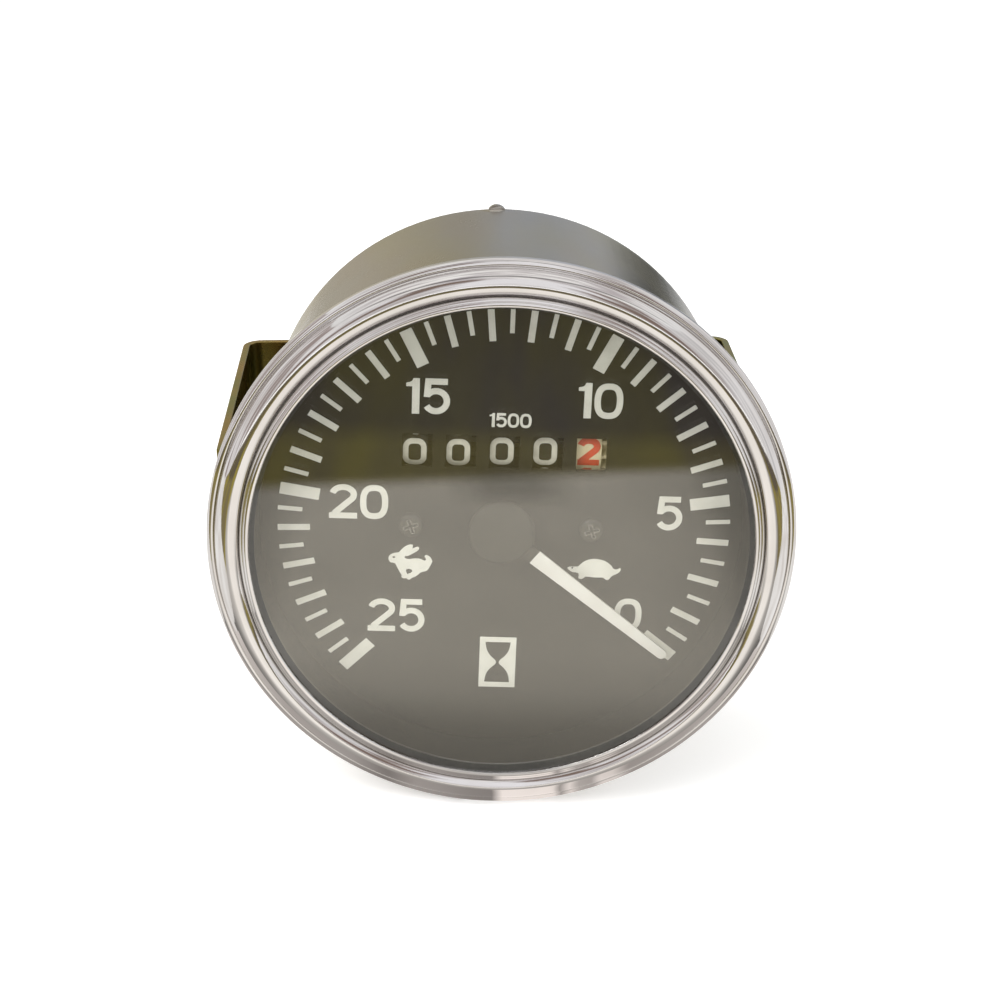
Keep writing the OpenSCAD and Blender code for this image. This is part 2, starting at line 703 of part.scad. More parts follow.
// The cast base, with two lugs that carry the cross shaft
module base_casting() {
    color([0.55, 0.56, 0.58]) difference() {
        union() {
            plate(base_front, base_t) translate([0, (plate_top - plate_low) / 2])
                rounded(2 * (plate_x + base_lap), plate_top + plate_low, 5);
            for (x = [cross_left, cross_right]) {
                translate([x - lug_t / 2, train_depth, cross_z - lug_w / 2])
                    cube([lug_t, base_front + 1 - train_depth, lug_w]);
                sideways(x - lug_t / 2, train_depth, cross_z) cylinder(h = lug_t, r = lug_w / 2);
            }
        }
        bar(0, 0, base_front - 1, case_inside + 1, neck_r);
        bar(wheel_x, lay_z, base_front - 1, case_inside + 1, train_shaft_r + running);
        for (s = [-1, 1]) bar(s * stud_x, 0, base_front - 1, case_inside + 1, stud_r);
        at_spigot_screws() bar(0, 0, base_front - 1, case_inside + 1, screw_r);
        sideways(cross_left - lug_t, train_depth, cross_z)
            cylinder(h = cross_right - cross_left + 2 * lug_t, r = train_shaft_r + running);
    }
}

// A bent sheet: two ears that carry the drums' shaft and the carry shaft, and a web between them
module counter_frame() {
    low = counter_z - 5;
    top = pinion_z + frame_margin;
    ear_front = drum_depth - drum_shaft_r - frame_margin;
    shoulder = pinion_depth - pinion_shaft_r - frame_margin / 2;
    cut = 2;
    module ear() linear_extrude(counter_sheet) polygon([
        [-low, front_plate_depth], [-low, ear_front + cut], [-low - cut, ear_front],
        [-counter_z - 2 * cut, ear_front], [-top, shoulder], [-top, front_plate_depth]]);
    color([0.68, 0.68, 0.66]) difference() {
        union() {
            sideways(frame_left - counter_sheet, 0, 0) ear();
            sideways(frame_right, 0, 0) ear();
            translate([frame_left - counter_sheet, counter_back, low])
                cube([frame_right - frame_left + 2 * counter_sheet, counter_sheet, top - low]);
        }
        sideways(frame_left - 2 * counter_sheet, drum_depth, counter_z)
            cylinder(h = frame_right - frame_left + 4 * counter_sheet, r = drum_shaft_r + running);
        sideways(frame_left - 2 * counter_sheet, pinion_depth, pinion_z)
            cylinder(h = frame_right - frame_left + 4 * counter_sheet, r = pinion_shaft_r);
    }
}

module counter_shaft() {
    left = frame_left - counter_sheet - shaft_end;
    color([0.6, 0.6, 0.62]) sideways(left, drum_depth, counter_z)
        cylinder(h = wheel_x + wheel_t / 2 + shaft_end - left, r = drum_shaft_r);
}

module carry_shaft() {
    left = frame_left - counter_sheet - shaft_end;
    color([0.6, 0.6, 0.62]) sideways(left, pinion_depth, pinion_z)
        cylinder(h = frame_right + counter_sheet + shaft_end - left, r = pinion_shaft_r);
}

// A toothed wheel on a shaft, with a lightened web and a hub
module wheel(teeth, module_mm, start, bore_r) {
    root_r = module_mm * (teeth / 2 - 1.15);
    difference() {
        union() {
            translate([0, 0, -wheel_t / 2]) linear_extrude(wheel_t)
                polygon(gear_points(teeth, module_mm, start, 0.4, tooth_high, 1.15));
            translate([0, 0, -wheel_t / 2 - hub_out]) cylinder(h = wheel_t + hub_out, r = bore_r + hub_wall);
        }
        translate([0, 0, wheel_t / 2 - web_in]) difference() {
            cylinder(h = 1, r = root_r - hub_wall);
            translate([0, 0, -1]) cylinder(h = 3, r = bore_r + hub_wall);
        }
        translate([0, 0, -wheel_t]) cylinder(h = 2 * wheel_t, r = bore_r);
    }
}

module hour_wheel() {
    color([0.9, 0.88, 0.8]) sideways(wheel_x, drum_depth, counter_z)
        wheel(hour_teeth, hour_module, 180 / hour_teeth, drum_shaft_r);
}

// One number drum: printed face, web, hub, carry gear on its right and carry rim on its left
module drum(place, bore_r) {
    mesh_angle = 180 - pinion_lean;
    rim_left = -drum_left - carry_rim_t;
    x = drum_pitch * place - counter_span / 2;
    sideways(x, drum_depth, counter_z) difference() {
        union() {
            rotate_extrude() polygon([[0, -drum_left], [drum_r, -drum_left], [drum_r, drum_right],
                [0, drum_right]]);
            translate([0, 0, drum_right]) linear_extrude(carry_t)
                polygon(gear_points(carry_teeth, carry_module, mesh_angle + 180 / carry_teeth,
                                    0.44, 0.75, 1.1));
            translate([0, 0, rim_left]) cylinder(h = carry_rim_t, r = carry_rim_r);
            for (a = [-9, 9]) rotate(mesh_angle + 90 + a)
                translate([carry_rim_r - carry_tooth, -carry_tooth / 2, rim_left])
                    cube([2 * carry_tooth, carry_tooth, carry_rim_t]);
        }
        translate([0, 0, rim_left - 1]) difference() {
            cylinder(h = 1 + carry_rim_t + drum_w - drum_web, r = carry_rim_r - carry_rim_wall);
            translate([0, 0, -1]) cylinder(h = 2 * drum_w, r = drum_shaft_r + drum_hub_wall);
        }
        translate([0, 0, -drum_w]) cylinder(h = 3 * drum_w, r = bore_r);
    }
}

module drum_tenths() color([0.86, 0.8, 0.66]) drum(drums - 1, drum_shaft_r);
module drum_ones() color([0.07, 0.07, 0.07]) drum(drums - 2, drum_shaft_r + running);
module drum_tens() color([0.07, 0.07, 0.07]) drum(drums - 3, drum_shaft_r + running);
module drum_hundreds() color([0.07, 0.07, 0.07]) drum(drums - 4, drum_shaft_r + running);
module drum_thousands() color([0.07, 0.07, 0.07]) drum(drums - 5, drum_shaft_r + running);

// The pinion between the drum at a place and the faster drum on its right. Every other tooth is
// cut short, so that the faster drum's rim holds the pinion until its two teeth come round.
module carry_pinion(place) {
    x = drum_pitch * place - counter_span / 2 + drum_right;
    full = carry_t;
    long = drum_space - 2 * clear;
    color([0.85, 0.83, 0.78]) sideways(x + clear, pinion_depth, pinion_z) difference() {
        union() {
            linear_extrude(full) polygon(gear_points(pinion_teeth, carry_module, -pinion_lean,
                                                     0.44, 0.75, 1.1));
            linear_extrude(long) intersection() {
                polygon(gear_points(pinion_teeth, carry_module, -pinion_lean, 0.44, 0.75, 1.1));
                union() {
                    circle(pinion_r - 1.1 * carry_module);
                    for (a = [0, 90]) rotate(a - pinion_lean)
                        square([3 * pinion_r, 1.5 * carry_module], center = true);
                }
            }
        }
        translate([0, 0, -1]) cylinder(h = long + 2, r = pinion_shaft_r + running);
    }
}

module carry_pinion_ones() carry_pinion(drums - 2);
module carry_pinion_tens() carry_pinion(drums - 3);
module carry_pinion_hundreds() carry_pinion(drums - 4);
module carry_pinion_thousands() carry_pinion(drums - 5);

module lay_shaft() {
    front = drum_depth - PI * hour_module * (worm_turns + 1.4) / 2 - shaft_end;
    color([0.6, 0.6, 0.62]) translate([wheel_x, 0, lay_z]) union() {
        bar(0, 0, front, case_inside - clear, train_shaft_r);
        facing(drum_depth) worm_core(hour_module, lay_worm_r, worm_turns);
        facing(drum_depth) worm_thread(hour_module, lay_worm_r, worm_turns, 90);
    }
}

module lay_wheel() {
    color([0.8, 0.68, 0.35]) translate([wheel_x, 0, lay_z]) facing(train_depth)
        wheel(lay_teeth, lay_module, -90 + 180 / lay_teeth, train_shaft_r);
}

module cross_shaft() {
    left = cross_left - lug_t / 2 - shaft_end;
    color([0.6, 0.6, 0.62]) union() {
        sideways(left, train_depth, cross_z)
            cylinder(h = cross_right + lug_t / 2 + shaft_end - left, r = train_shaft_r);
        sideways(wheel_x, train_depth, cross_z) worm_core(lay_module, cross_worm_r, worm_turns);
        sideways(wheel_x, train_depth, cross_z) worm_thread(lay_module, cross_worm_r, worm_turns, 180);
    }
}

module cross_wheel() {
    color([0.8, 0.68, 0.35]) sideways(0, train_depth, cross_z)
        wheel(cross_teeth, cross_module, 180 + 180 / cross_teeth, train_shaft_r);
}

// The shaft that the cable turns: square socket, journal, worm and a bore for the spindle's pivot
module drive_shaft() {
    color([0.6, 0.6, 0.62]) difference() {
        union() {
            bar(0, 0, drive_front, base_front, drive_r);
            bar(0, 0, base_front, drive_rear, journal_r);
            facing(train_depth) worm_core(cross_module, drive_worm_r, worm_turns);
            facing(train_depth) worm_thread(cross_module, drive_worm_r, worm_turns, -90);
        }
        bar(0, 0, drive_front - 1, drive_front + pivot_len + 0.9, spindle_r + running);
        translate([-socket_w / 2, drive_rear - socket_len, -socket_w / 2])
            cube([socket_w, socket_len + 1, socket_w]);
    }
}

module ring_magnet() {
    color([0.25, 0.25, 0.27]) difference() {
        bar(0, 0, magnet_front, magnet_rear, magnet_r);
        bar(0, 0, magnet_front - 1, magnet_rear + 1, drive_r);
    }
}

module field_cup() {
    front = magnet_front + 0.4;
    color([0.6, 0.6, 0.6]) turned() polygon([[drive_r, magnet_rear], [field_r, magnet_rear],
        [field_r, front], [field_r + field_wall, front], [field_r + field_wall, field_rear],
        [drive_r, field_rear]]);
}

module drive_bush() {
    color([0.7, 0.5, 0.25]) difference() {
        bar(0, 0, base_front + 1, drive_rear, bush_r_out);
        bar(0, 0, base_front, drive_rear + 1, journal_r + running);
    }
}

// The spigot that the cable's nut screws on, with its flange on the can's rear face
module drive_spigot() {
    thread_start = flange_end + thread_relief;
    relief_r = neck_r - 0.2;
    chamfer = 0.8;
    color([0.66, 0.66, 0.68]) difference() {
        turned() polygon([[bush_r_out, base_front], [neck_r, base_front], [neck_r, case_depth],
            [spigot_flange_r, case_depth], [spigot_flange_r, flange_end - 0.5],
            [spigot_flange_r - 0.5, flange_end], [relief_r, flange_end],
            [relief_r, thread_start], [spigot_r, thread_start],
            [spigot_r, spigot_end - chamfer], [spigot_r - chamfer, spigot_end], [ferrule_r, spigot_end],
            [ferrule_r, ferrule_seat], [bush_r_out, ferrule_seat]]);
        at_spigot_screws() bar(0, 0, case_depth - 1, flange_end + 1, screw_r + screw_play);
    }
}

module spigot_screws() {
    color([0.6, 0.6, 0.62]) at_spigot_screws() {
        translate([0, flange_end, 0]) rotate([-90, 0, 0]) pan_head();
        bar(0, 0, base_front, flange_end, screw_r);
    }
}

// The clamp strap: a crossbar behind the case and two arms that reach forward to the panel
module strap() {
    bend_in = strap_bend - strap_t;
    corner_x = arm_out - strap_bend;
    corner_y = crossbar_rear - strap_bend;
    lean_x = -corner_x - strap_bend * cos(strap_lean);
    lean_y = corner_y - strap_bend * sin(strap_lean);
    foot_x = lean_x + (lean_y - strap_feet) * tan(strap_lean);
    foot_w = strap_t / cos(strap_lean);
    color([0.72, 0.62, 0.25]) rotate([0, -strap_turn, 0]) translate([-strap_shift, 0, 0]) difference() {
        translate([0, 0, -strap_w / 2]) linear_extrude(strap_w) polygon(concat(
            [[arm_in, strap_feet], [arm_out, strap_feet]],
            arc([corner_x, corner_y], strap_bend, 0, 90, 8),
            arc([-corner_x, corner_y], strap_bend, 90, 180 + strap_lean, 8),
            [[foot_x, strap_feet], [foot_x + foot_w, strap_feet]],
            arc([-corner_x, corner_y], bend_in, 180 + strap_lean, 90, 6),
            arc([corner_x, corner_y], bend_in, 90, 0, 6)));
        bar(strap_shift, 0, crossbar - 1, crossbar_rear + 1, strap_hole_r);
        for (s = [-1, 1]) for (x = [-1, 1])
            bar(s * stud_x + x * strap_shift, 0, crossbar - 1, crossbar_rear + 1, slot_r);
        for (s = [-1, 1]) translate([s * stud_x - strap_shift, crossbar - 1, -slot_r])
            cube([2 * strap_shift, strap_t + 2, 2 * slot_r]);
    }
}

module studs() {
    color([0.7, 0.7, 0.68]) for (s = [-1, 1]) translate([s * stud_x, base_front, 0]) rotate([-90, 0, 0])
        rotate_extrude() polygon([[0, 0], [stud_r, 0], [stud_r, stud_end - base_front - stud_chamfer],
            [stud_r - stud_chamfer, stud_end - base_front], [0, stud_end - base_front]]);
}

module hex_nuts(depth) {
    for (s = [-1, 1]) difference() {
        translate([s * stud_x, depth, 0]) rotate([-90, 0, 0]) cylinder(h = nut_h,
            r = nut_w / 2 / cos(30), $fn = 6);
        bar(s * stud_x, 0, depth - 1, depth + nut_h + 1, stud_r);
    }
}

module case_nuts() color([0.7, 0.66, 0.5]) hex_nuts(case_depth);

module strap_washers() {
    color([0.7, 0.7, 0.68]) for (s = [-1, 1]) difference() {
        bar(s * stud_x, 0, crossbar_rear, crossbar_rear + washer_t, washer_r);
        bar(s * stud_x, 0, crossbar_rear - 1, crossbar_rear + washer_t + 1, stud_r + screw_play);
    }
}

module strap_nuts() color([0.7, 0.66, 0.5]) hex_nuts(crossbar_rear + washer_t);

// The push-in holder of the dial lamp
module lamp_holder() {
    rim = 1.8;
    rim_t = 1.4;
    body_r = lamp_r - 0.6;
    chamfer = 0.6;
    color([0.1, 0.1, 0.1]) translate([0, 0, lamp_z]) turned() polygon([
        [bulb_r, case_inside - lamp_in], [lamp_r, case_inside - lamp_in], [lamp_r, case_depth],
        [lamp_r + rim, case_depth], [lamp_r + rim, case_depth + rim_t], [body_r, case_depth + rim_t],
        [body_r, lamp_end - chamfer], [body_r - chamfer, lamp_end], [0, lamp_end], [0, case_inside - 1],
        [bulb_r, case_inside - 1]]);
}

module lamp_bulb() {
    rear = case_inside - 1;
    color([0.9, 0.9, 0.85, 0.5]) translate([0, 0, lamp_z]) turned() polygon(concat(
        [[0, rear], [bulb_r, rear]], arc([0, rear - bulb_len + bulb_r], bulb_r, 0, -90, 8)));
}

module lamp_blade() {
    color([0.8, 0.75, 0.5]) translate([-blade_w / 2, lamp_end, lamp_z - blade_t / 2]) difference() {
        cube([blade_w, blade_len, blade_t]);
        translate([blade_w / 2, 0.7 * blade_len, -1]) cylinder(h = 3, r = blade_hole_r);
    }
}

// A riveted blade for the earth wire, bent to stand off the can's rear face
module earth_blade() {
    foot = blade_len / 2;
    color([0.8, 0.75, 0.5]) difference() {
        union() {
            translate([-blade_w / 2, case_depth, -lamp_z - foot]) cube([blade_w, blade_t, 2 * foot]);
            translate([-blade_w / 2, case_depth, -lamp_z + foot - blade_t])
                cube([blade_w, blade_len + 1, blade_t]);
            bar(0, -lamp_z, case_inside, case_depth + small, screw_r);
            bar(0, -lamp_z, case_depth + blade_t - small, case_depth + 2 * blade_t, screw_r + 1);
        }
        translate([0, case_depth + 0.75 * blade_len, -lamp_z]) cylinder(h = 2 * foot, r = blade_hole_r);
    }
}

case_can();
bezel();
lens();
lens_seal();
inner_ring();
dial_plate();
dial_screws();
pointer();
pointer_cap();
pointer_spindle();
drag_cup();
hairspring();
spring_stud();
front_plate();
front_bush();
dial_pillars();
frame_pillars();
frame_screws();
base_casting();
counter_frame();
counter_shaft();
hour_wheel();
drum_tenths();
drum_ones();
drum_tens();
drum_hundreds();
drum_thousands();
carry_shaft();
carry_pinion_ones();
carry_pinion_tens();
carry_pinion_hundreds();
carry_pinion_thousands();
lay_shaft();
lay_wheel();
cross_shaft();
cross_wheel();
drive_shaft();
ring_magnet();
field_cup();
drive_bush();
drive_spigot();
spigot_screws();
strap();
studs();
case_nuts();
strap_washers();
strap_nuts();
lamp_holder();
lamp_bulb();
lamp_blade();
earth_blade();
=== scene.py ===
# %% [markdown]
# # A tractor's rev counter with an hour counter
# The instrument hangs in a dash panel and a flexible cable turns it from behind. The CAD model
# gives every rigid piece its place. This script dresses that model: it adds the paint, the
# plating, the print on the dial and the figures on the counter's drums.
# All sizes below are in millimetres in the CAD frame: x is right, y goes back, z is up.

# %% The frame
import bmesh
import bpy
import json
import math
from mathutils import Matrix, Vector
from mathutils.geometry import tessellate_polygon

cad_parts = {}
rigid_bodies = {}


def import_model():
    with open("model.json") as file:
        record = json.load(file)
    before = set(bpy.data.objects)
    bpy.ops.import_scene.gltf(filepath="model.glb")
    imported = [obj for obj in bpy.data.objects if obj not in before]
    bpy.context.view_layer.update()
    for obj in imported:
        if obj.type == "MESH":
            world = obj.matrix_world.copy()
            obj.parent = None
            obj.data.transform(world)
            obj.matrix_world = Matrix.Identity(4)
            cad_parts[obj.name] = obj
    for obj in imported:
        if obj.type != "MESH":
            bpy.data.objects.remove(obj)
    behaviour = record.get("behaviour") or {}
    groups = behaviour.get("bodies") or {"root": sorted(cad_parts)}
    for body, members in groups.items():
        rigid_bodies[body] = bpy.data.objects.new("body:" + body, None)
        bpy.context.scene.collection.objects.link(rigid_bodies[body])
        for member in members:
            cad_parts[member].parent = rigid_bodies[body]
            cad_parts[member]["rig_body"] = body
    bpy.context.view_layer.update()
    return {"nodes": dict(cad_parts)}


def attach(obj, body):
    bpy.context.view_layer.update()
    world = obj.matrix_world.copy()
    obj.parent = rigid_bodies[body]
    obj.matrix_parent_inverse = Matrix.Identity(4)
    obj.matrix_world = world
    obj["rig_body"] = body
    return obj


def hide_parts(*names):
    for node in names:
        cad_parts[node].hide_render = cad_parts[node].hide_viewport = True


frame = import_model()
nodes = frame["nodes"]
scene = bpy.context.scene
MM, PER_METRE = 0.001, 1000

# %% [markdown]
# ## The camera
# The photograph was taken from a little above and almost straight ahead. The camera's place and
# its three directions were solved from the round lip, the rim and the rear edge of the can.

# %% Camera
def new_object(name, data):
    made = bpy.data.objects.new(name, data)
    scene.collection.objects.link(made)
    return made


camera_data = bpy.data.cameras.new("camera")
camera_data.lens = 68.1
camera_data.sensor_width = 36
camera_data.clip_start = 0.01
camera = new_object("camera", camera_data)
view_right = (0.9992, -0.0163, 0.0377)
view_up = (-0.0288, 0.3762, 0.9261)
view_back = (-0.0292, -0.9264, 0.3754)
camera_place = (-11.05, -327.8, 141.3)
camera.matrix_world = Matrix([[view_right[i], view_up[i], view_back[i], camera_place[i] * MM]
                              for i in range(3)] + [[0, 0, 0, 1]])
scene.camera = camera
scene.view_settings.view_transform = "Standard"
print("camera at", camera_place)

# %% [markdown]
# ## Small helpers for node trees
# A node tree is easier to read when a node, its settings and what feeds it stand on one line.
# The helpers take either a plain value or another node's output for each socket.

# %% Node helpers
def feed(tree, socket, value):
    if isinstance(value, bpy.types.NodeSocket):
        tree.links.new(value, socket)
    else:
        socket.default_value = value


def put(tree, kind, feeds=None, **settings):
    node = tree.nodes.new(kind)
    for name, value in settings.items():
        setattr(node, name, value)
    for name, value in (feeds or {}).items():
        feed(tree, node.inputs[name], value)
    return node


def math_node(tree, operation, a, b=0.0, clamp=False):
    node = put(tree, "ShaderNodeMath", {0: a, 1: b}, operation=operation, use_clamp=clamp)
    return node.outputs[0]


def plus(tree, a, b, clamp=False):
    return math_node(tree, "ADD", a, b, clamp)


def times(tree, a, b, clamp=False):
    return math_node(tree, "MULTIPLY", a, b, clamp)


def vector_node(tree, operation, a, b):
    node = put(tree, "ShaderNodeVectorMath", {0: a, 1: b}, operation=operation)
    return node.outputs["Value" if operation == "DOT_PRODUCT" else "Vector"]


def mix_colours(tree, factor, a, b):
    node = put(tree, "ShaderNodeMix", data_type="RGBA")
    for name, value in (("Factor_Float", factor), ("A_Color", a), ("B_Color", b)):
        feed(tree, next(s for s in node.inputs if s.identifier == name), value)
    return next(s for s in node.outputs if s.identifier == "Result_Color")


def rgb(red, green, blue):
    """A colour as it looks on the screen, 0 to 255, turned into the linear one that nodes use."""
    return tuple((c / 255 / 12.92 if c < 10.3 else ((c / 255 + 0.055) / 1.055) ** 2.4)
                 for c in (red, green, blue)) + (1,)


WHITE = (1, 1, 1, 1)
print("node helpers ready")

# %% Group helpers
def new_group(name, inputs, outputs, tree_kind="ShaderNodeTree"):
    """Each input stands with its kind or with its default, a number or a vector."""
    tree = bpy.data.node_groups.new(name, tree_kind)
    for label, value in inputs.items():
        kind = "Vector" if isinstance(value, tuple) else "Float"
        kind = value if isinstance(value, str) else kind
        socket = tree.interface.new_socket(label, in_out="INPUT", socket_type="NodeSocket" + kind)
        if kind != value:
            socket.default_value = value
    for label, kind in outputs.items():
        tree.interface.new_socket(label, in_out="OUTPUT", socket_type="NodeSocket" + kind)
    return tree, put(tree, "NodeGroupInput").outputs, put(tree, "NodeGroupOutput").inputs


def place_group(tree, group, feeds):
    return put(tree, "ShaderNodeGroup", feeds, node_tree=group).outputs


def noise(tree, place, scale, detail):
    feeds = {"Vector": place, "Scale": scale, "Detail": detail}
    return put(tree, "ShaderNodeTexNoise", feeds).outputs[0]


def sized_noise(tree, given, detail):
    """Noise whose patches are the given size in millimetres, stretched as given."""
    scaled = vector_node(tree, "MULTIPLY", given["Place"], given["Stretch"])
    return noise(tree, scaled, math_node(tree, "DIVIDE", PER_METRE, given["Size"]), detail)


print("group helpers ready")

# %% [markdown]
# ## Effects that several finishes share
# - Mottle: slow patches of a second colour, as on any plated or painted sheet.
# - Grain: the fine texture of the surface, for a bump.
# - Worn edges: the paint or plating goes first where two faces meet. A Bevel node rounds the
#   normal near an edge, so its difference from the true normal marks the edge.
# - Grime and painted shade: creases, which an Ambient Occlusion node finds, are painted dark
#   brown, for the dirt that stays there and as the shade that falls there.
# - Dust: it lies on what faces up.

# %% Mottle group
# Noise mostly keeps within a sixth of its middle. At a contrast of 0.5 this gain spreads that
# over the whole range from one colour to the other.
NOISE_SPREAD = 6
tree, given, result = new_group(
    "mottle", {"Place": "Vector", "Size": 8, "Stretch": (1, 1, 1), "Contrast": 0.5, "Level": 0.5,
               "Colour": "Color", "Other": "Color"}, {"Colour": "Color", "Mask": "Float"})
centred = math_node(tree, "SUBTRACT", sized_noise(tree, given, 3), given["Level"])
steepness = times(tree, given["Contrast"], NOISE_SPREAD)
mask = plus(tree, times(tree, centred, steepness), 0.5, clamp=True)
feed(tree, result["Mask"], mask)
feed(tree, result["Colour"], mix_colours(tree, mask, given["Colour"], given["Other"]))
mottle = tree
print("mottle group:", len(tree.nodes), "nodes")

# %% Grain group
tree, given, result = new_group("grain", {"Place": "Vector", "Size": 0.3, "Stretch": (1, 1, 1)},
                                {"Height": "Float"})
feed(tree, result["Height"], sized_noise(tree, given, 2))
grain = tree
print("grain group:", len(tree.nodes), "nodes")

# %% Worn edges group
EDGE_GAIN, CHIP_SCALE, CHIP_GAIN = 9, 900, 1.6
tree, given, result = new_group(
    "worn_edges", {"Place": "Vector", "Radius": 0.25, "Amount": 0.5}, {"Mask": "Float"})
radius = math_node(tree, "DIVIDE", given["Radius"], PER_METRE)
soft = put(tree, "ShaderNodeBevel", {"Radius": radius}, samples=4).outputs[0]
sharp = put(tree, "ShaderNodeNewGeometry").outputs["Normal"]
turned = math_node(tree, "SUBTRACT", 1, vector_node(tree, "DOT_PRODUCT", soft, sharp))
broken = times(tree, noise(tree, given["Place"], CHIP_SCALE, 4), CHIP_GAIN)
chips = times(tree, times(tree, turned, EDGE_GAIN), broken)
feed(tree, result["Mask"], times(tree, chips, given["Amount"], clamp=True))
worn_edges = tree
print("worn edges group:", len(tree.nodes), "nodes")

# %% Grime and painted shade group
# Creases that the Ambient Occlusion node finds come out dark: partly grime, partly painted shade.
tree, given, result = new_group("grime_and_shade", {"Reach": 1.0, "Amount": 0.5}, {"Mask": "Float"})
reach = math_node(tree, "DIVIDE", given["Reach"], PER_METRE)
hidden = put(tree, "ShaderNodeAmbientOcclusion", {"Distance": reach}, samples=6, only_local=True)
depth = math_node(tree, "SUBTRACT", 1, hidden.outputs["AO"])
feed(tree, result["Mask"], times(tree, depth, given["Amount"], clamp=True))
grime_and_shade = tree
print("grime group:", len(tree.nodes), "nodes")

# %% Dust group
SPECK_SCALE, DRIFT_SCALE, DUST_GAIN = 1400, 60, 3
tree, given, result = new_group("dust", {"Place": "Vector", "Amount": 0.2}, {"Mask": "Float"})
normal = put(tree, "ShaderNodeNewGeometry").outputs["Normal"]
facing = put(tree, "ShaderNodeSeparateXYZ", {0: normal}).outputs["Z"]
upward = plus(tree, times(tree, facing, 0.6), 0.4, clamp=True)
specks = times(tree, noise(tree, given["Place"], SPECK_SCALE, 5),
               noise(tree, given["Place"], DRIFT_SCALE, 3))
amount = times(tree, given["Amount"], DUST_GAIN)
feed(tree, result["Mask"], times(tree, times(tree, upward, specks), amount, clamp=True))
dust = tree
print("dust group:", len(tree.nodes), "nodes")

# %% [markdown]
# ## One recipe for every finish
# Each finish is a base colour with slow patches, a roughness that follows the same patches, a
# fine grain as a bump, worn edges, grime and painted shade in the creases and some dust. What is
# the same all over, such as the metallic value or a coat, stands on the shader itself.

# %% Material helpers
DUST_COLOUR, DUST_ROUGHNESS = rgb(176, 166, 146), 0.5
# The brown of the creases, for grime and for painted shade.
GRIME_AND_SHADE_COLOUR, GRIME_ROUGHNESS = rgb(58, 46, 32), 0.4
ACCENT_ASIDE, ACCENT_LEVEL = (0.31, 0.17, 0.23), 0.56
finishes = {}


def empty_tree(owner):
    owner.use_nodes = True
    owner.node_tree.nodes.clear()
    return owner.node_tree


def new_material(name):
    made = bpy.data.materials.new(name)
    tree = empty_tree(made)
    return made, tree, put(tree, "ShaderNodeTexCoord").outputs["Object"]


print("grime and dust colours ready")

# %% Finish helper
def finish(name, colour, other, patch, rough, grain_size=0.3, grain_depth=0.01, contrast=0.5,
           stretch=(1, 1, 1), accent=None, worn=None, dirt=None, dusty=0.0, over=None, **shader):
    """Colours are as on the screen, 0 to 255. accent is a colour with its patch size and
    contrast, worn an amount with the bare colour, and the crease darkening an amount with its
    reach; it paints grime and shade in the creases."""
    made, tree, place = new_material(name)
    patches = place_group(tree, mottle, {"Place": place, "Size": patch, "Contrast": contrast,
                                         "Stretch": stretch, "Colour": rgb(*colour),
                                         "Other": rgb(*other)})
    painted = patches["Colour"]
    if accent:
        aside = vector_node(tree, "ADD", place, ACCENT_ASIDE)
        painted = place_group(tree, mottle, {
            "Place": aside, "Size": accent[1], "Contrast": accent[2], "Level": ACCENT_LEVEL,
            "Stretch": stretch, "Colour": painted, "Other": rgb(*accent[0])})["Colour"]
    if over:
        painted = over(tree, place, painted)
    roughness = plus(tree, times(tree, patches["Mask"], rough[1] - rough[0]), rough[0])
    if worn:
        edges = place_group(tree, worn_edges, {"Place": place, "Amount": worn[0]})["Mask"]
        painted = mix_colours(tree, edges, painted, rgb(*worn[1]))
    # Creases are painted dark brown and made rougher: grime, and painted shade.
    if dirt:
        crease = place_group(tree, grime_and_shade, {"Reach": dirt[1], "Amount": dirt[0]})["Mask"]
        painted = mix_colours(tree, crease, painted, GRIME_AND_SHADE_COLOUR)
        roughness = plus(tree, roughness, times(tree, crease, GRIME_ROUGHNESS), clamp=True)
    if dusty:
        lying = place_group(tree, dust, {"Place": place, "Amount": dusty})["Mask"]
        painted = mix_colours(tree, lying, painted, DUST_COLOUR)
        roughness = plus(tree, roughness, times(tree, lying, DUST_ROUGHNESS), clamp=True)
    texture = place_group(tree, grain, {"Place": place, "Size": grain_size, "Stretch": stretch})
    relief = put(tree, "ShaderNodeBump", {"Height": texture["Height"],
                                          "Distance": grain_depth * MM})
    surface = put(tree, "ShaderNodeBsdfPrincipled", {
        "Base Color": painted, "Roughness": roughness, "Normal": relief.outputs[0],
        **{k.replace("_", " "): v for k, v in shader.items()}})
    put(tree, "ShaderNodeOutputMaterial", {"Surface": surface.outputs[0]})
    finishes[name] = made


def metal(name, *recipe, **more):
    finish(name, *recipe, Metallic=1.0, **more)


print("finish helper ready")

# %% [markdown]
# ## The finishes
# Each name is the record's material slot. The can is bright zinc that has gone satin, the ring
# is chromed, the strap and nuts are zinc passivated yellow, and the dial is a dark olive paint.
# The numbers after the two colours are the size of the patches, the least and the greatest
# roughness, and the size and depth of the grain.

# %% Plated and bare metal
metal("zinc_can", (181, 180, 176), (190, 178, 160), 30, (0.19, 0.25), 0.6, 0.0012,
      contrast=0.7, stretch=(1, 0.4, 1), accent=((187, 182, 154), 22, 0.6),
      worn=(0.3, (214, 211, 204)), dirt=(0.4, 2), dusty=0.1)
metal("chrome", (236, 234, 233), (228, 225, 223), 14, (0.05, 0.09), 6, 0.02,
      contrast=0.6, dirt=(0.4, 0.6), dusty=0.02)
metal("steel", (176, 176, 178), (150, 147, 142), 3, (0.25, 0.4), 0.15, 0.004, dirt=(0.5, 0.6))
metal("drag_aluminium", (205, 206, 208), (188, 188, 190), 5, (0.3, 0.42), 0.2, 0.004)
metal("bronze", (178, 128, 72), (140, 92, 50), 3, (0.35, 0.5), 0.2, dirt=(0.5, 1))
metal("brass_sheet", (205, 178, 112), (176, 146, 88), 6, (0.26, 0.42), 0.25, 0.005, dirt=(0.4, 1))
metal("zinc_bright", (200, 202, 204), (178, 180, 180), 4, (0.28, 0.4), 0.25, 0.006,
      worn=(0.3, (150, 140, 125)), dirt=(0.5, 1), dusty=0.08)
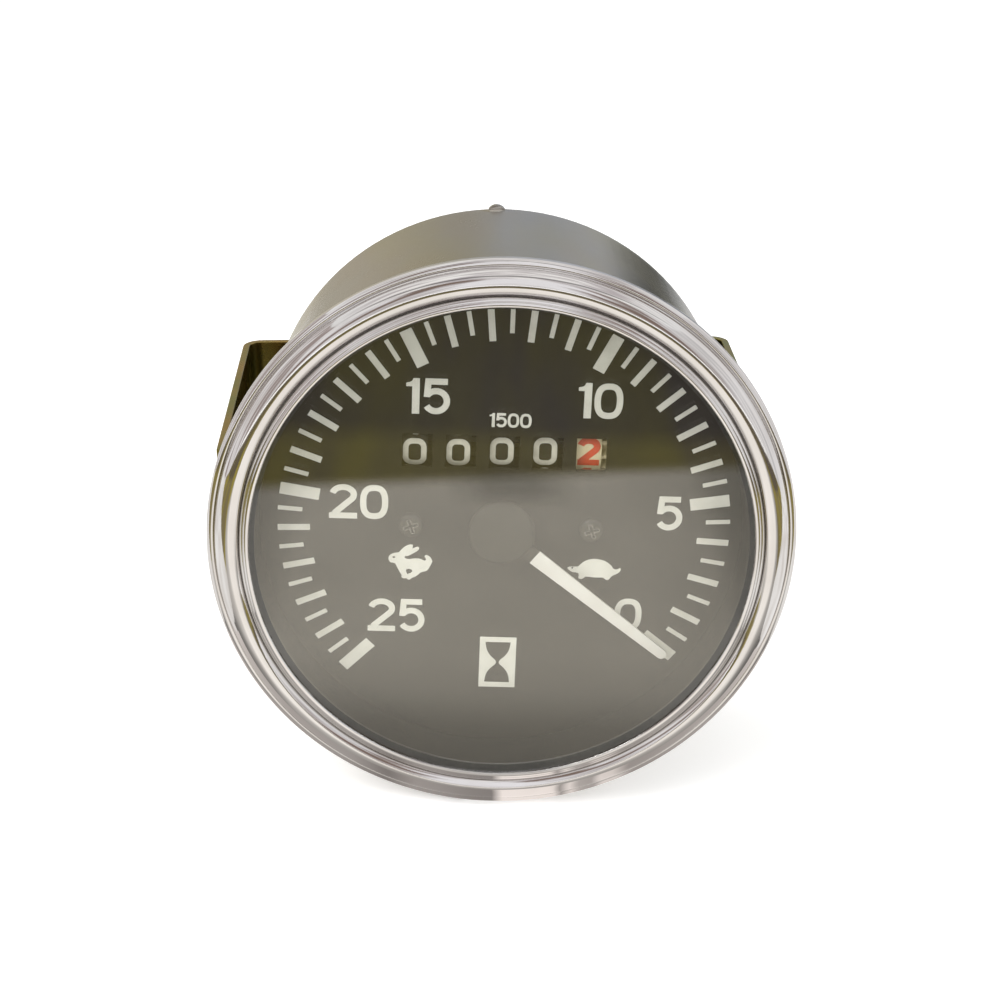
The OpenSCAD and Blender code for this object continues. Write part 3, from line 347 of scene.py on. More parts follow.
metal("zinc_yellow", (156, 147, 72), (122, 137, 78), 14, (0.2, 0.32), 0.3, 0.006,
      contrast=0.38, accent=((186, 142, 70), 13, 0.4), worn=(0.6, (196, 195, 186)),
      dirt=(0.35, 1), dusty=0.06)
metal("cast_zinc", (150, 152, 155), (126, 127, 128), 5, (0.5, 0.62), 0.5, 0.03,
      worn=(0.5, (186, 187, 190)), dirt=(0.4, 1))
metal("field_iron", (150, 149, 146), (122, 116, 106), 5, (0.38, 0.52), dirt=(0.4, 1))
finish("magnet", (74, 74, 78), (58, 57, 58), 3, (0.5, 0.65), 0.4, 0.03,
       worn=(0.6, (140, 138, 134)), Metallic=0.6)
print(len(finishes), "metal finishes")

# %% Paint, plastic and rubber
WHITE_FROM, POINTER_LIFT = 8.3, math.radians(-1.6)
tip = max((v.co for v in nodes["pointer"].data.vertices), key=lambda co: math.hypot(co.x, co.z))
POINTER_WAY = Matrix.Rotation(POINTER_LIFT, 3, "Y") @ Vector((tip.x, 0, tip.z)).normalized()


def black_root(tree, place, painted):
    """The pointer is black up to a straight line across it, a little outside the cap."""
    along = vector_node(tree, "DOT_PRODUCT", place, POINTER_WAY)
    at_root = math_node(tree, "LESS_THAN", along, WHITE_FROM * MM)
    return mix_colours(tree, at_root, painted, rgb(44, 42, 33))


finish("black_rubber", (30, 30, 29), (40, 39, 37), 4, (0.6, 0.75), 0.4, 0.02, dusty=0.2)
finish("black_paint", (22, 21, 18), (28, 27, 23), 6, (0.5, 0.6), 0.35, 0.006,
       dusty=0.04, Specular_IOR_Level=0.15)
finish("dial_paint", (35, 33, 25), (31, 30, 23), 14, (0.5, 0.6), 0.25, 0.006,
       dusty=0.02, Specular_IOR_Level=0.15)
finish("dial_black", (44, 42, 34), (38, 37, 30), 5, (0.45, 0.55), 0.25, 0.006,
       dusty=0.04, Specular_IOR_Level=0.3)
finish("pointer_white", (213, 209, 203), (206, 201, 194), 4, (0.4, 0.5), 0.25, 0.005,
       over=black_root)
finish("black_drum", (31, 29, 22), (37, 35, 27), 3, (0.45, 0.6), 0.25, 0.006,
       dusty=0.03, Specular_IOR_Level=0.3)
finish("cream_drum", (222, 208, 174), (210, 194, 158), 3, (0.4, 0.5), 0.25, 0.006)
finish("cream_nylon", (226, 216, 190), (214, 200, 168), 3, (0.4, 0.55), 0.3, 0.008,
       Subsurface_Weight=0.1, Subsurface_Scale=0.0005)
finish("black_moulding", (28, 28, 29), (36, 36, 36), 4, (0.38, 0.5), dusty=0.05)
print(len(finishes), "finishes for the record's slots, glass still to come")

# %% Inks and the paint on the dial's screws
INK_GRAIN = (0.15, 0.004)
finish("dial_print", (216, 213, 204), (204, 201, 191), 3, (0.45, 0.55), *INK_GRAIN)
finish("drum_print", (210, 205, 192), (194, 189, 176), 1.5, (0.45, 0.55), *INK_GRAIN)
finish("red_print", (206, 66, 40), (190, 54, 34), 1.5, (0.4, 0.5), *INK_GRAIN)
# The screws' recesses and rims are darkened strongly: painted shade that outlines them.
finish("screw_paint", (40, 38, 30), (34, 33, 26), 2, (0.16, 0.26), 0.2, 0.006,
       worn=(0.8, (186, 182, 172)), dirt=(0.9, 0.5))
print("three inks and a screw paint")

# %% [markdown]
# ## Glass
# Light from a lamp bends twice in the flat glass, which a path tracer finds only by chance. So
# for shadow rays and for light scattered by the dial the glass is simply clear, and it is real
# glass for what the camera sees through it and in it.

# %% Glass finish
GLASS_TINT = (0.97, 0.98, 0.965, 1)
LEAST_BLUR, SMEAR_BLUR, SMEAR_SIZE = 0.004, 0.01, 20
made, tree, place = new_material("glass")
smear = place_group(tree, mottle, {"Place": place, "Size": SMEAR_SIZE, "Colour": GLASS_TINT,
                                   "Other": GLASS_TINT})
blur = plus(tree, times(tree, smear["Mask"], SMEAR_BLUR), LEAST_BLUR)
solid = put(tree, "ShaderNodeBsdfPrincipled", {
    "Base Color": smear["Colour"], "Roughness": blur, "IOR": 1.52, "Transmission Weight": 1.0,
    "Coat Weight": 1.0, "Coat Roughness": 0.01, "Coat IOR": 1.8})
ray = put(tree, "ShaderNodeLightPath").outputs
open_to = math_node(tree, "MAXIMUM", ray["Is Shadow Ray"], ray["Is Diffuse Ray"])
clear = put(tree, "ShaderNodeBsdfTransparent", {0: GLASS_TINT})
shown = put(tree, "ShaderNodeMixShader", {0: open_to, 1: solid.outputs[0], 2: clear.outputs[0]})
put(tree, "ShaderNodeOutputMaterial", {"Surface": shown.outputs[0]})
finishes["glass"] = made
print("glass with clear shadows")

# %% [markdown]
# ## The studio
# The floor and the world are white for the camera, also through the glass, and the world is a
# little dimmer in mirrors. What gives metal and glass their form is what they mirror: the flat
# glass mirrors the table in front of the object, which is bright near by and dull olive further
# off, and the edge between the two crosses the dial as a straight line. The ring also mirrors
# the room in front, above and at its sides, and the can mirrors the wall behind. Cards that only
# mirrors can see stand for all of these.

# %% World and lamps
MIRRORED_SKY = (0.85, 0.85, 0.85, 1)


def seen_directly(tree):
    """1 for what the camera sees, also through the glass, and 0 for what lights or mirrors."""
    ray = put(tree, "ShaderNodeLightPath").outputs
    return math_node(tree, "MAXIMUM", ray["Is Camera Ray"], ray["Is Transmission Ray"])


def softbox(name, place, aim, size, power, colour):
    data = bpy.data.lights.new(name, "AREA")
    data.shape = "RECTANGLE"
    data.size, data.size_y = size[0] * MM, size[1] * MM
    data.energy = power
    data.color = colour
    lamp = new_object(name, data)
    lamp.location = Vector(place) * MM
    lamp.rotation_euler = (Vector(aim) - Vector(place)).to_track_quat("-Z", "Y").to_euler()
    lamp.visible_glossy = False


world = bpy.data.worlds.new("studio")
scene.world = world
sky = empty_tree(world)
level = mix_colours(sky, seen_directly(sky), MIRRORED_SKY, WHITE)
put(sky, "ShaderNodeOutputWorld", {0: put(sky, "ShaderNodeBackground", {0: level}).outputs[0]})
softbox("key_softbox", (-420, -380, 520), (0, 0, 0), (500, 400), 3.9, (1, 0.99, 0.97))
softbox("fill_softbox", (520, -300, 300), (0, 0, 0), (400, 400), 1.4, (0.96, 0.98, 1))
softbox("rear_softbox", (-480, 420, 330), (0, 30, 0), (400, 300), 1.5, (1, 0.97, 0.92))

# %% Floor
FLOOR_Z = -55.5
PAPER, PAPER_LIFT = (0.9, 0.9, 0.9, 1), 0.28


def panel(x, y, z):
    """The corners of a rectangle. One of the three is a plain number, the others are ranges."""
    corners = []
    for picks in ((0, 0), (1, 0), (1, 1), (0, 1)):
        pick = iter(picks)
        corners.append([s[next(pick)] if isinstance(s, tuple) else s for s in (x, y, z)])
    return corners


def flat_sheet(name, corners):
    mesh = bpy.data.meshes.new(name)
    mesh.from_pydata([Vector(c) * MM for c in corners], [], [tuple(range(len(corners)))])
    sheet = new_object(name, mesh)
    return sheet


floor = flat_sheet("floor", panel((-2500, 2500), (-1500, 4000), FLOOR_Z))
paper = bpy.data.materials.new("floor_paper")
tree = empty_tree(paper)
lit = put(tree, "ShaderNodeBsdfPrincipled", {"Base Color": PAPER, "Roughness": 0.9})
glow = put(tree, "ShaderNodeEmission", {"Strength": times(tree, seen_directly(tree), PAPER_LIFT)})
both = put(tree, "ShaderNodeAddShader", {0: lit.outputs[0], 1: glow.outputs[0]})
put(tree, "ShaderNodeOutputMaterial", {"Surface": both.outputs[0]})
floor.data.materials.append(paper)
print("floor at", FLOOR_Z)

# %% Mirror cards
def along_axis(tree, place, direction, stops):
    """A level or colour that runs through its stops of (place, value) along a direction."""
    first, last = stops[0][0], stops[-1][0]
    at = vector_node(tree, "DOT_PRODUCT", place, direction)
    share = put(tree, "ShaderNodeMapRange", {"Value": at, "From Min": first * MM,
                                             "From Max": last * MM})
    ramp = put(tree, "ShaderNodeValToRGB", {"Fac": share.outputs[0]})
    band = ramp.color_ramp.elements
    while len(band) < len(stops):
        band.new(0.5)
    for element, (at, value) in zip(band, stops):
        element.position = (at - first) / (last - first)
        element.color = value if isinstance(value, tuple) else (value, value, value, 1)
    return ramp.outputs[0]


def mirror_card(name, corners, colour, other=None, patch=120, contrast=1.0, stretch=(1, 1, 1),
                ramps=(), fades=(), strength=1.0, in_glass=None):
    """A card for mirrors alone. Each ramp sets its colour and brightness along a direction, so it
    can paint light and shade on it; each fade lets it end softly. in_glass is its tint for light
    that comes back out of the glass."""
    card = flat_sheet(name, corners)
    made, tree, place = new_material(name)
    shown = place_group(tree, mottle, {
        "Place": place, "Size": patch, "Contrast": contrast, "Stretch": stretch,
        "Colour": rgb(*colour), "Other": rgb(*(other or colour))})["Colour"]
    tints_and_shades = [along_axis(tree, place, *ramp) for ramp in ramps]
    if in_glass:
        leaving = put(tree, "ShaderNodeLightPath").outputs["Is Transmission Ray"]
        tints_and_shades.append(mix_colours(tree, leaving, WHITE, in_glass))
    for tint in tints_and_shades:
        shown = vector_node(tree, "MULTIPLY", shown, tint)
    surface = put(tree, "ShaderNodeEmission", {"Color": shown, "Strength": strength}).outputs[0]
    for fade in fades:
        feeds = {0: along_axis(tree, place, *fade), 2: surface,
                 1: put(tree, "ShaderNodeBsdfTransparent").outputs[0]}
        surface = put(tree, "ShaderNodeMixShader", feeds).outputs[0]
    put(tree, "ShaderNodeOutputMaterial", {"Surface": surface})
    card.data.materials.append(made)
    card.visible_camera = card.visible_diffuse = False
    card.visible_volume_scatter = card.visible_shadow = False


print("card helper ready")

# %% The table in front
ACROSS, BACK, UP = (1, 0, 0), (0, 1, 0), (0, 0, 1)
SIDES = (ACROSS, [(-900, 0), (-450, 1.0), (450, 1.0), (900, 0)])
# The bright part of the table ends on a line that lies closer to the instrument on the left.
EDGE_SLOPE, EDGE_AT, EDGE_BLUR, EDGE_SPARE = -0.1967, -181.2, 5, 8
TOWARDS_EDGE = (-EDGE_SLOPE, 1, 0)


def lifted(height):
    """Cards on the floor lie a little above one another."""
    return FLOOR_Z + height


# The ramps paint shade on the table: darker towards the instrument, as its shadow, and darker at
# the sides, which the glass shows as shade at the dial's edges.
mirror_card("near_table", [(x, EDGE_AT + EDGE_SLOPE * x - EDGE_SPARE, lifted(0.3))
                           for x in (-96, 96)] + [(96, -8, lifted(0.3)), (-96, -8, lifted(0.3))],
            (255, 250, 243), (246, 241, 234), patch=50, contrast=0.5, strength=1.08,
            in_glass=(1, 0.915, 0.72, 1),
            ramps=[(BACK, [(-70, 1.0), (-53, 0.86), (-37, 0.53), (-20, 0.38)]),
                   (ACROSS, [(-80, 0.5), (-59, 0.7), (-48, 1.0), (38, 0.97), (58, 0.84),
                             (66, 0.55), (80, 0.4)])],
            fades=[(TOWARDS_EDGE, [(EDGE_AT - EDGE_BLUR, 0), (EDGE_AT + EDGE_BLUR, 1.0)])])
FAR_SHADE, FAR_LIGHT = (0.5, 0.5, 0.72, 1), (1, 1, 0.8, 1)
mirror_card("far_table", [(-900, -450, lifted(0.2)), (900, -450, lifted(0.2)),
                          (900, -150, lifted(0.2)), (-900, -50, lifted(0.2))],
            (114, 104, 84), (140, 129, 70), patch=42, stretch=(1, 0.12, 1), strength=1.33,
            ramps=[(BACK, [(-450, FAR_SHADE), (-226, FAR_SHADE), (-206, FAR_LIGHT),
                           (-150, FAR_LIGHT)])],
            fades=[SIDES, (BACK, [(-450, 0), (-360, 1.0)])])
mirror_card("hub_shade", panel((-14, 30), (-192, -156), lifted(0.4)), (40, 38, 34),
            fades=[(ACROSS, [(-12, 0), (2, 0.36), (14, 0.36), (28, 0)]),
                   (BACK, [(-189, 0), (-181, 1.0), (-172, 1.0), (-158, 0)])])
# The ring's lower beads mirror this card: its dark stretches are painted shade under the ring, and
# its bright stripes are painted highlights on the beads.
mirror_card("ring_shade", panel((-90, 90), (-17, 60), lifted(0.4)), (255, 246, 240),
            ramps=[(ACROSS, [(-90, 0.7), (-60, 0.5), (-30, 0.38), (-22, 0.26), (-16, 0.4),
                             (0, 0.28), (2, 1.0), (12.5, 1.0), (14, 0.4), (16, 0.9), (18, 0.5),
                             (21, 0.45), (23, 0.85), (26, 0.8), (30, 0.4), (60, 0.5),
                             (90, 0.7)])])
mirror_card("table", panel((-800, 800), (-450, 500), lifted(0.1)), (230, 226, 222),
            (250, 249, 247), patch=60, contrast=0.8)
print("five cards on the floor")

# %% The room
ROOM_X, ROOM_FRONT, ROOM_TOP, REAR_Y, SIDE_X = (-900, 900), -700, 750, 560, 520
for name, x, colour in (("left_wall", -SIDE_X, (162, 150, 146)),
                        ("right_wall", SIDE_X, (206, 205, 206))):
    mirror_card(name, panel(x, (ROOM_FRONT, REAR_Y), (FLOOR_Z, 450)), colour,
                (240, 238, 238), patch=150, stretch=(1, 1, 0.5))
mirror_card("front_wall", panel(ROOM_X, ROOM_FRONT, (FLOOR_Z, ROOM_TOP)), (132, 116, 108),
            (244, 243, 246), patch=200, contrast=0.9, stretch=(1, 1, 0.3), fades=[SIDES])
mirror_card("ceiling", panel(ROOM_X, (ROOM_FRONT, 500), ROOM_TOP), (200, 194, 196),
            (255, 254, 252), patch=240, contrast=1.1, fades=[SIDES],
            ramps=[(BACK, [(-700, 1.0), (-500, 1.0), (-420, 0.4), (-320, 0.4), (-240, 1.0),
                           (500, 0.95)])])
mirror_card("rear_wall", panel((-600, 600), REAR_Y, (FLOOR_Z, 500)), (255, 255, 255),
            ramps=[(ACROSS, [(-185, rgb(198, 191, 175)), (-110, rgb(182, 177, 162)),
                             (-48, rgb(176, 172, 162)), (15, rgb(182, 183, 185)),
                             (77, rgb(176, 178, 184)), (133, rgb(184, 186, 191))])])
mirror_card("rear_block", panel((130, 500), REAR_Y - 5, (-14, 120)), (74, 74, 75),
            fades=[(ACROSS, [(134, 0), (158, 1.0)]), (UP, [(85, 1.0), (115, 0)])])
print("six cards for the walls and the ceiling")

# %% [markdown]
# ## Turned pieces
# The ring is spun from sheet round the instrument's axis, so it is one profile swept round y.
# The profile is written as radius and depth, and the sweep has enough steps that a chromed bead
# shows no flats.

# %% Profile helpers
def arc(mid, radii, start, end, steps):
    """Points from one angle to another, in degrees, on an oval about mid."""
    angles = [math.radians(start + (end - start) * i / steps) for i in range(steps + 1)]
    return [(mid[0] + radii[0] * math.cos(a), mid[1] + radii[1] * math.sin(a)) for a in angles]


def bulge(first, last, height, steps):
    """Points on an arc from first to last that stands out by height, to the right of the way."""
    p, q = Vector(first), Vector(last)
    width = (q - p).length
    radius = (width * width / 4 + height * height) / (2 * height)
    along = (q - p) / width
    side = Vector((along.y, -along.x))
    mid = (p + q) / 2 + side * (height - radius)
    half = math.asin(width / 2 / radius)
    return [tuple(mid + radius * (along * math.sin(half * t) + side * math.cos(half * t)))
            for t in (2 * i / steps - 1 for i in range(steps + 1))]


print("profile helpers ready")

# %% Lathe
MERGE_BUILD, NO_LENGTH, SHARP_ABOVE, TURN_STEPS = 0.002, 1e-7, 32, 288


def smooth_object(work, name, sharp_above):
    """Ends a build: an object that is smooth except over its sharp edges."""
    mesh = bpy.data.meshes.new(name)
    work.to_mesh(mesh)
    work.free()
    mesh.polygons.foreach_set("use_smooth", [True] * len(mesh.polygons))
    mesh.set_sharp_from_angle(angle=math.radians(sharp_above))
    return new_object(name, mesh)


def close_up(work):
    """Merges doubles and turns the faces outwards."""
    bmesh.ops.remove_doubles(work, verts=work.verts, dist=MERGE_BUILD * MM)
    bmesh.ops.recalc_face_normals(work, faces=work.faces)


def lathe(name, profile):
    """Sweeps a closed profile of (radius, depth) round the instrument's axis."""
    work = bmesh.new()
    rings = []
    for i in range(TURN_STEPS):
        turn = 2 * math.pi * i / TURN_STEPS
        rings.append([work.verts.new(Vector((radius * math.cos(turn), depth,
                                             radius * math.sin(turn))) * MM)
                      for radius, depth in profile])
    count = len(profile)
    for i, here in enumerate(rings):
        there = rings[(i + 1) % TURN_STEPS]
        for k in range(count):
            work.faces.new((here[k], here[(k + 1) % count], there[(k + 1) % count], there[k]))
    bmesh.ops.dissolve_degenerate(work, edges=work.edges, dist=NO_LENGTH)
    close_up(work)
    return smooth_object(work, name, SHARP_ABOVE)


print("lathe turns in", TURN_STEPS, "steps")

# %% Dressing a piece
def dress(obj, body, slot, *replaced, look=None):
    """Paints a finished piece and hangs it on its body."""
    obj.data.materials.clear()
    obj.data.materials.append(finishes[look or slot])
    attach(obj, body)
    if replaced:
        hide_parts(*replaced)


print("dressing ready")

# %% [markdown]
# ## The chromed ring
# One spun sheet: a lip over the glass, the main bead, a rear bead, and an edge rolled over the
# can's flange. The profile is the CAD one with more points, so that reflections run smoothly.

# %% Bezel
LENS_R, LENS_FRONT = 48.4, -4.5
LIP_R, LIP_ROUND, LIP_RISE = 47.2, 0.45, 0.12
BEZEL_R, BEZEL_FRONT, REAR_ROUND = 55.4, -5.3, 0.95
FLANGE_R, FLANGE_FRONT, FLANGE_REAR = 53.3, -1.4, -0.6
CREASE_IN, CREASE_OUT = (49.0, -3.75), (53.9, -2.4)
SMALL_RISE, BEAD_RISE = 0.32, 1.7
lip_step = (LIP_R + 1.1, BEZEL_FRONT + 0.35)
lip = (arc((LIP_R + LIP_ROUND, LENS_FRONT - 0.3), (LIP_ROUND, LIP_ROUND), 180, 232, 5)
       + bulge((LIP_R + 0.35, BEZEL_FRONT + 0.12), lip_step, LIP_RISE, 5)
       + bulge((lip_step[0] + 0.06, lip_step[1] + 0.1), (CREASE_IN[0] - 0.12, CREASE_IN[1] - 0.2),
               SMALL_RISE, 8))
bead = bulge((CREASE_IN[0] + 0.12, CREASE_IN[1] - 0.25),
             (CREASE_OUT[0] - 0.1, CREASE_OUT[1] - 0.12), BEAD_RISE, 28)
rear_bead = arc((BEZEL_R - REAR_ROUND, FLANGE_REAR - 0.9), (REAR_ROUND, REAR_ROUND), 240, 360, 14)
rolled_edge = [(BEZEL_R, FLANGE_REAR), (BEZEL_R - 0.08, -0.4), (BEZEL_R - 0.25, -0.25),
               (BEZEL_R - 0.4, -0.06), (BEZEL_R - 0.6, 0), (49.7, 0), (49.7, FLANGE_REAR),
               (FLANGE_R, FLANGE_REAR)]
inside = [(FLANGE_R, FLANGE_FRONT), (53.0, -1.85), (52.1, -2.9), (50.7, -3.6), (49.8, -2.3),
          (48.6, -2.3), (LENS_R, -3.0), (LENS_R, LENS_FRONT)]
bezel = lathe("bezel_ring", [(LIP_R, LENS_FRONT), *lip, CREASE_IN, *bead, CREASE_OUT, *rear_bead,
                             *rolled_edge, *inside])
dress(bezel, "case", "chrome", "bezel")
print("bezel:", len(bezel.data.polygons), "faces")

# %% [markdown]
# ## CAD pieces with smooth shading
# Many CAD pieces already have the right shape. A merged copy of the node shades smoothly and can
# take a fine bevel, and the copy stands for the node. The node itself is left as it is. The
# pointer's copy is turned up a little, to where the photograph has it.

# %% Smooth copies of CAD nodes
MERGE_COPY, FLAT_WITHIN, BEVEL_OVER = 0.001, 0.5, 40


def settled_mesh(obj):
    """The mesh that an object's modifiers make, as a plain mesh of its own."""
    obj.update_tag()
    bpy.context.view_layer.update()
    seen = obj.evaluated_get(bpy.context.evaluated_depsgraph_get())
    return bpy.data.meshes.new_from_object(seen)


def smooth_copy(node_name, bevel, sharp_above=SHARP_ABOVE, cuts=(), reshape=None):
    """cuts are depths at which long faces are divided, reshape then moves each vertex."""
    work = bmesh.new()
    work.from_mesh(nodes[node_name].data)
    bmesh.ops.remove_doubles(work, verts=work.verts, dist=MERGE_COPY * MM)
    bmesh.ops.dissolve_limit(work, angle_limit=math.radians(FLAT_WITHIN), verts=work.verts,
                             edges=work.edges)
    for depth in cuts:
        bmesh.ops.bisect_plane(work, geom=work.verts[:] + work.edges[:] + work.faces[:],
                               dist=NO_LENGTH, plane_co=(0, depth * MM, 0), plane_no=(0, 1, 0))
    for vertex in work.verts if reshape else ():
        vertex.co = reshape(vertex.co / MM) * MM
    made = smooth_object(work, node_name + "_piece", sharp_above)
    if bevel:
        rounding = made.modifiers.new("edges", "BEVEL")
        rounding.width = bevel * MM
        rounding.segments = 2
        rounding.limit_method = "ANGLE"
        rounding.angle_limit = math.radians(BEVEL_OVER)
        rounding.harden_normals = True
        made.data = settled_mesh(made)
        made.modifiers.clear()
    return made


def stand_in(node_name, piece):
    """Hangs a copy on its node's body, in its node's finish, in the node's place."""
    node = nodes[node_name]
    dress(piece, node["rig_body"], node.data.materials[0].name, node_name)
    print(node_name, len(piece.data.polygons), "faces")


print("copies ready")

# %% Can, inner ring, pointer, cap and glass
CAN_CUTS, POINTER_BEVEL = (1, 30, 55, 58), 0.08
for name in ("case_can", "inner_ring", "pointer", "pointer_cap", "lens"):
    piece = smooth_copy(name, POINTER_BEVEL if name == "pointer" else 0,
                        cuts=CAN_CUTS if name == "case_can" else ())
    if name == "pointer":
        piece.data.transform(Matrix.Rotation(POINTER_LIFT, 4, "Y"))
    stand_in(name, piece)

# %% [markdown]
# ## The pieces at the back
# Sheet that was punched and bent has slightly round edges, which catch the light, so the strap,
# the washers and the blades get a fine bevel. Studs and spigot are threaded: their cylinders are
# cut into short steps and each vertex moves in by the depth of the groove at its angle. A nut's
# corners are taken off on both faces, as on any turned nut.

# %% Threads and nuts
GROOVE_DEPTH, FLANK, CREST, RUN_OUT = 0.6, 1.25, 0.12, 3
NEAR_RADIUS, NEAR_DEPTH = 0.02, 0.01
NUT_HEIGHT, NUT_CORNER, NUT_EDGE, NUT_REACH = 4, 4.2, 0.35, 6
STUDS, SPIGOT = ((-30, 0), (30, 0)), ((0, 0),)


def about_axes(centres, scale_at):
    """A reshape that scales each vertex's distance to one of the axes. scale_at(out, depth)
    gives the scale, or nothing for a vertex that isn't near that axis."""
    def reshape(co):
        for x, z in centres:
            out = Vector((co.x - x, co.z - z))
            scale = scale_at(out, co.y)
            if scale:
                out *= scale
                return Vector((x + out.x, co.y, z + out.y))
        return co
    return reshape


def thread(centres, radius, start, end, pitch, steps_a_turn):
    """Cuts and reshape for a right-hand thread in the cylinders of this radius."""
    def scale_at(out, depth):
        on_side = abs(out.length - radius) < NEAR_RADIUS
        if on_side and start - NEAR_DEPTH < depth < end + NEAR_DEPTH:
            phase = (depth / pitch + math.atan2(out.y, out.x) / (2 * math.pi)) % 1
            groove = min(1, max(0, FLANK * (1 - abs(2 * phase - 1)) - CREST))
            fade = min(1, (depth - start) / pitch, (end - depth) / pitch * RUN_OUT)
            return 1 - GROOVE_DEPTH * pitch * groove * max(0, fade) / radius
    count = round((end - start) / (pitch / steps_a_turn))
    cuts = [start + (end - start) * i / count for i in range(count + 1)]
    return cuts, about_axes(centres, scale_at)


def nuts(front):
    """Cuts and reshape that take the six corners off both faces of the nuts on the studs."""
    ends = (front, front + NUT_HEIGHT)

    def scale_at(out, depth):
        on_face = min(abs(depth - end) for end in ends) < NEAR_DEPTH
        if on_face and NUT_CORNER < out.length < NUT_REACH:
            return NUT_CORNER / out.length
    return (ends[0] + NUT_EDGE, ends[1] - NUT_EDGE), about_axes(STUDS, scale_at)


print("threads and nuts ready")

# %% Strap, nuts, studs and spigot
CAN_REAR, WASHERS_REAR, STUD_R, SPIGOT_R, SHARP_FITTING = 62.4, 75.9, 2.5, 9, 24
BEVELS = {"strap": 0.25, "strap_washers": 0.12, "spigot_screws": 0.08, "lamp_holder": 0.15,
          "lamp_blade": 0.1, "earth_blade": 0.1}
SHAPED = {"case_nuts": nuts(CAN_REAR), "strap_nuts": nuts(WASHERS_REAR),
          "studs": thread(STUDS, STUD_R, CAN_REAR, 85.3, 0.8, 6),
          "drive_spigot": thread(SPIGOT, SPIGOT_R, 66.5, 79.1, 1.5, 8)}
for name in (*BEVELS, *SHAPED):
    stand_in(name, smooth_copy(name, BEVELS.get(name, 0), SHARP_FITTING, *SHAPED.get(name, ())))

# %% [markdown]
# ## Print on the dial
# The scale, its numbers and the signs are ink on the dial plate. Each is a thin solid that stands
# three hundredths of a millimetre in front of the paint, so the camera sees a true edge.

# %% Ribbons
DIAL_FACE, SHARP_INK, MITRE_LIMIT = 8.2, 20, 0.35
INK, INK_ROOT, INK_LAYER = 0.03, 0.02, 0.005


def on_dial(u, v, lift):
    return Vector((u, DIAL_FACE - lift, v)) * MM


def ribbon(points, width, closed):
    """Two rows of points, one on each side of a line, with mitred corners."""
    count = len(points)
    left, right = [], []
    for i, point in enumerate(points):
        here = Vector(point)
        ways = []
        if i or closed:
            ways.append((here - Vector(points[i - 1])).normalized())
        if i + 1 < count or closed:
            ways.append((Vector(points[(i + 1) % count]) - here).normalized())
        normals = [Vector((-way.y, way.x)) for way in ways]
        normal = (normals[0] + normals[-1]).normalized()
        reach = width / 2 / max(MITRE_LIMIT, normal.dot(normals[0]))
        left.append(here + normal * reach)
        right.append(here - normal * reach)
    return left, right, closed


print("ribbons ready")

# %% Ink plates
def plate(work, faces_2d, place, top):
    """Adds a thin solid on these flat faces, with walls along their outer edges."""
    index, edges = {}, {}

    def key(p):
        return round(p[0], 5), round(p[1], 5)

    def corner(p, lift):
        if (key(p), lift) not in index:
            index[key(p), lift] = work.verts.new(place(p[0], p[1], lift))
        return index[key(p), lift]

    for face in faces_2d:
        work.faces.new([corner(p, top) for p in face])
        work.faces.new([corner(p, -INK_ROOT) for p in reversed(face)])
        for a, b in zip(face, face[1:] + face[:1]):
            edges.setdefault(frozenset((key(a), key(b))), []).append((a, b))
    for (a, b), *others in edges.values():
        if not others:
            work.faces.new([corner(b, top), corner(a, top), corner(a, -INK_ROOT),
                            corner(b, -INK_ROOT)])


def ink_mesh(name, ribbons, outlines, place):
    """A thin solid from ribbons and from outlines with their holes. place(u, v, lift) lies on
    the surface. Where two strokes cross, each lies in a layer of its own."""
    work = bmesh.new()
    for layer, (left, right, closed) in enumerate(ribbons):
        pairs = [(tuple(p), tuple(q)) for p, q in zip(left, right)]
        if closed:
            pairs.append(pairs[0])
        plate(work, [[p, q, next_q, next_p] for (p, q), (next_p, next_q) in zip(pairs, pairs[1:])],
              place, INK + INK_LAYER * (layer % 3))
    for loops in outlines:
        points = [tuple(p) for loop in loops for p in loop]
        triangles = tessellate_polygon([[Vector((*p, 0)) for p in loop] for loop in loops])
        plate(work, [[points[i] for i in triangle] for triangle in triangles], place, INK)
    close_up(work)
    return smooth_object(work, name, SHARP_INK)


print("ink stands", INK, "mm in front of the dial")

# %% [markdown]
# ## Figures
# The maker's own figures are round-cornered and all of one stroke width. So each figure is a
# centre line in a box of one unit's height, and a ribbon of constant width follows it. Only the
# one has its own outline. A figure's first value is its width, so that a row can be spaced.

# %% Figures
def rounded_loop(half_w, half_h, radius, steps=6):
    points = []
    for k, (sx, sy) in enumerate(((1, 1), (-1, 1), (-1, -1), (1, -1))):
        mid = (sx * (half_w - radius), sy * (half_h - radius))
        points += arc(mid, (radius, radius), 90 * k, 90 * k + 90, steps)
    return points


def full_loop(half_w, half_h, squareness=2.6, steps=44):
    """An oval with fuller corners than an ellipse."""
    points = []
    for i in range(steps):
        c, s = math.cos(2 * math.pi * i / steps), math.sin(2 * math.pi * i / steps)
        points.append((half_w * math.copysign(abs(c) ** (2 / squareness), c),
                       half_h * math.copysign(abs(s) ** (2 / squareness), s)))
    return points


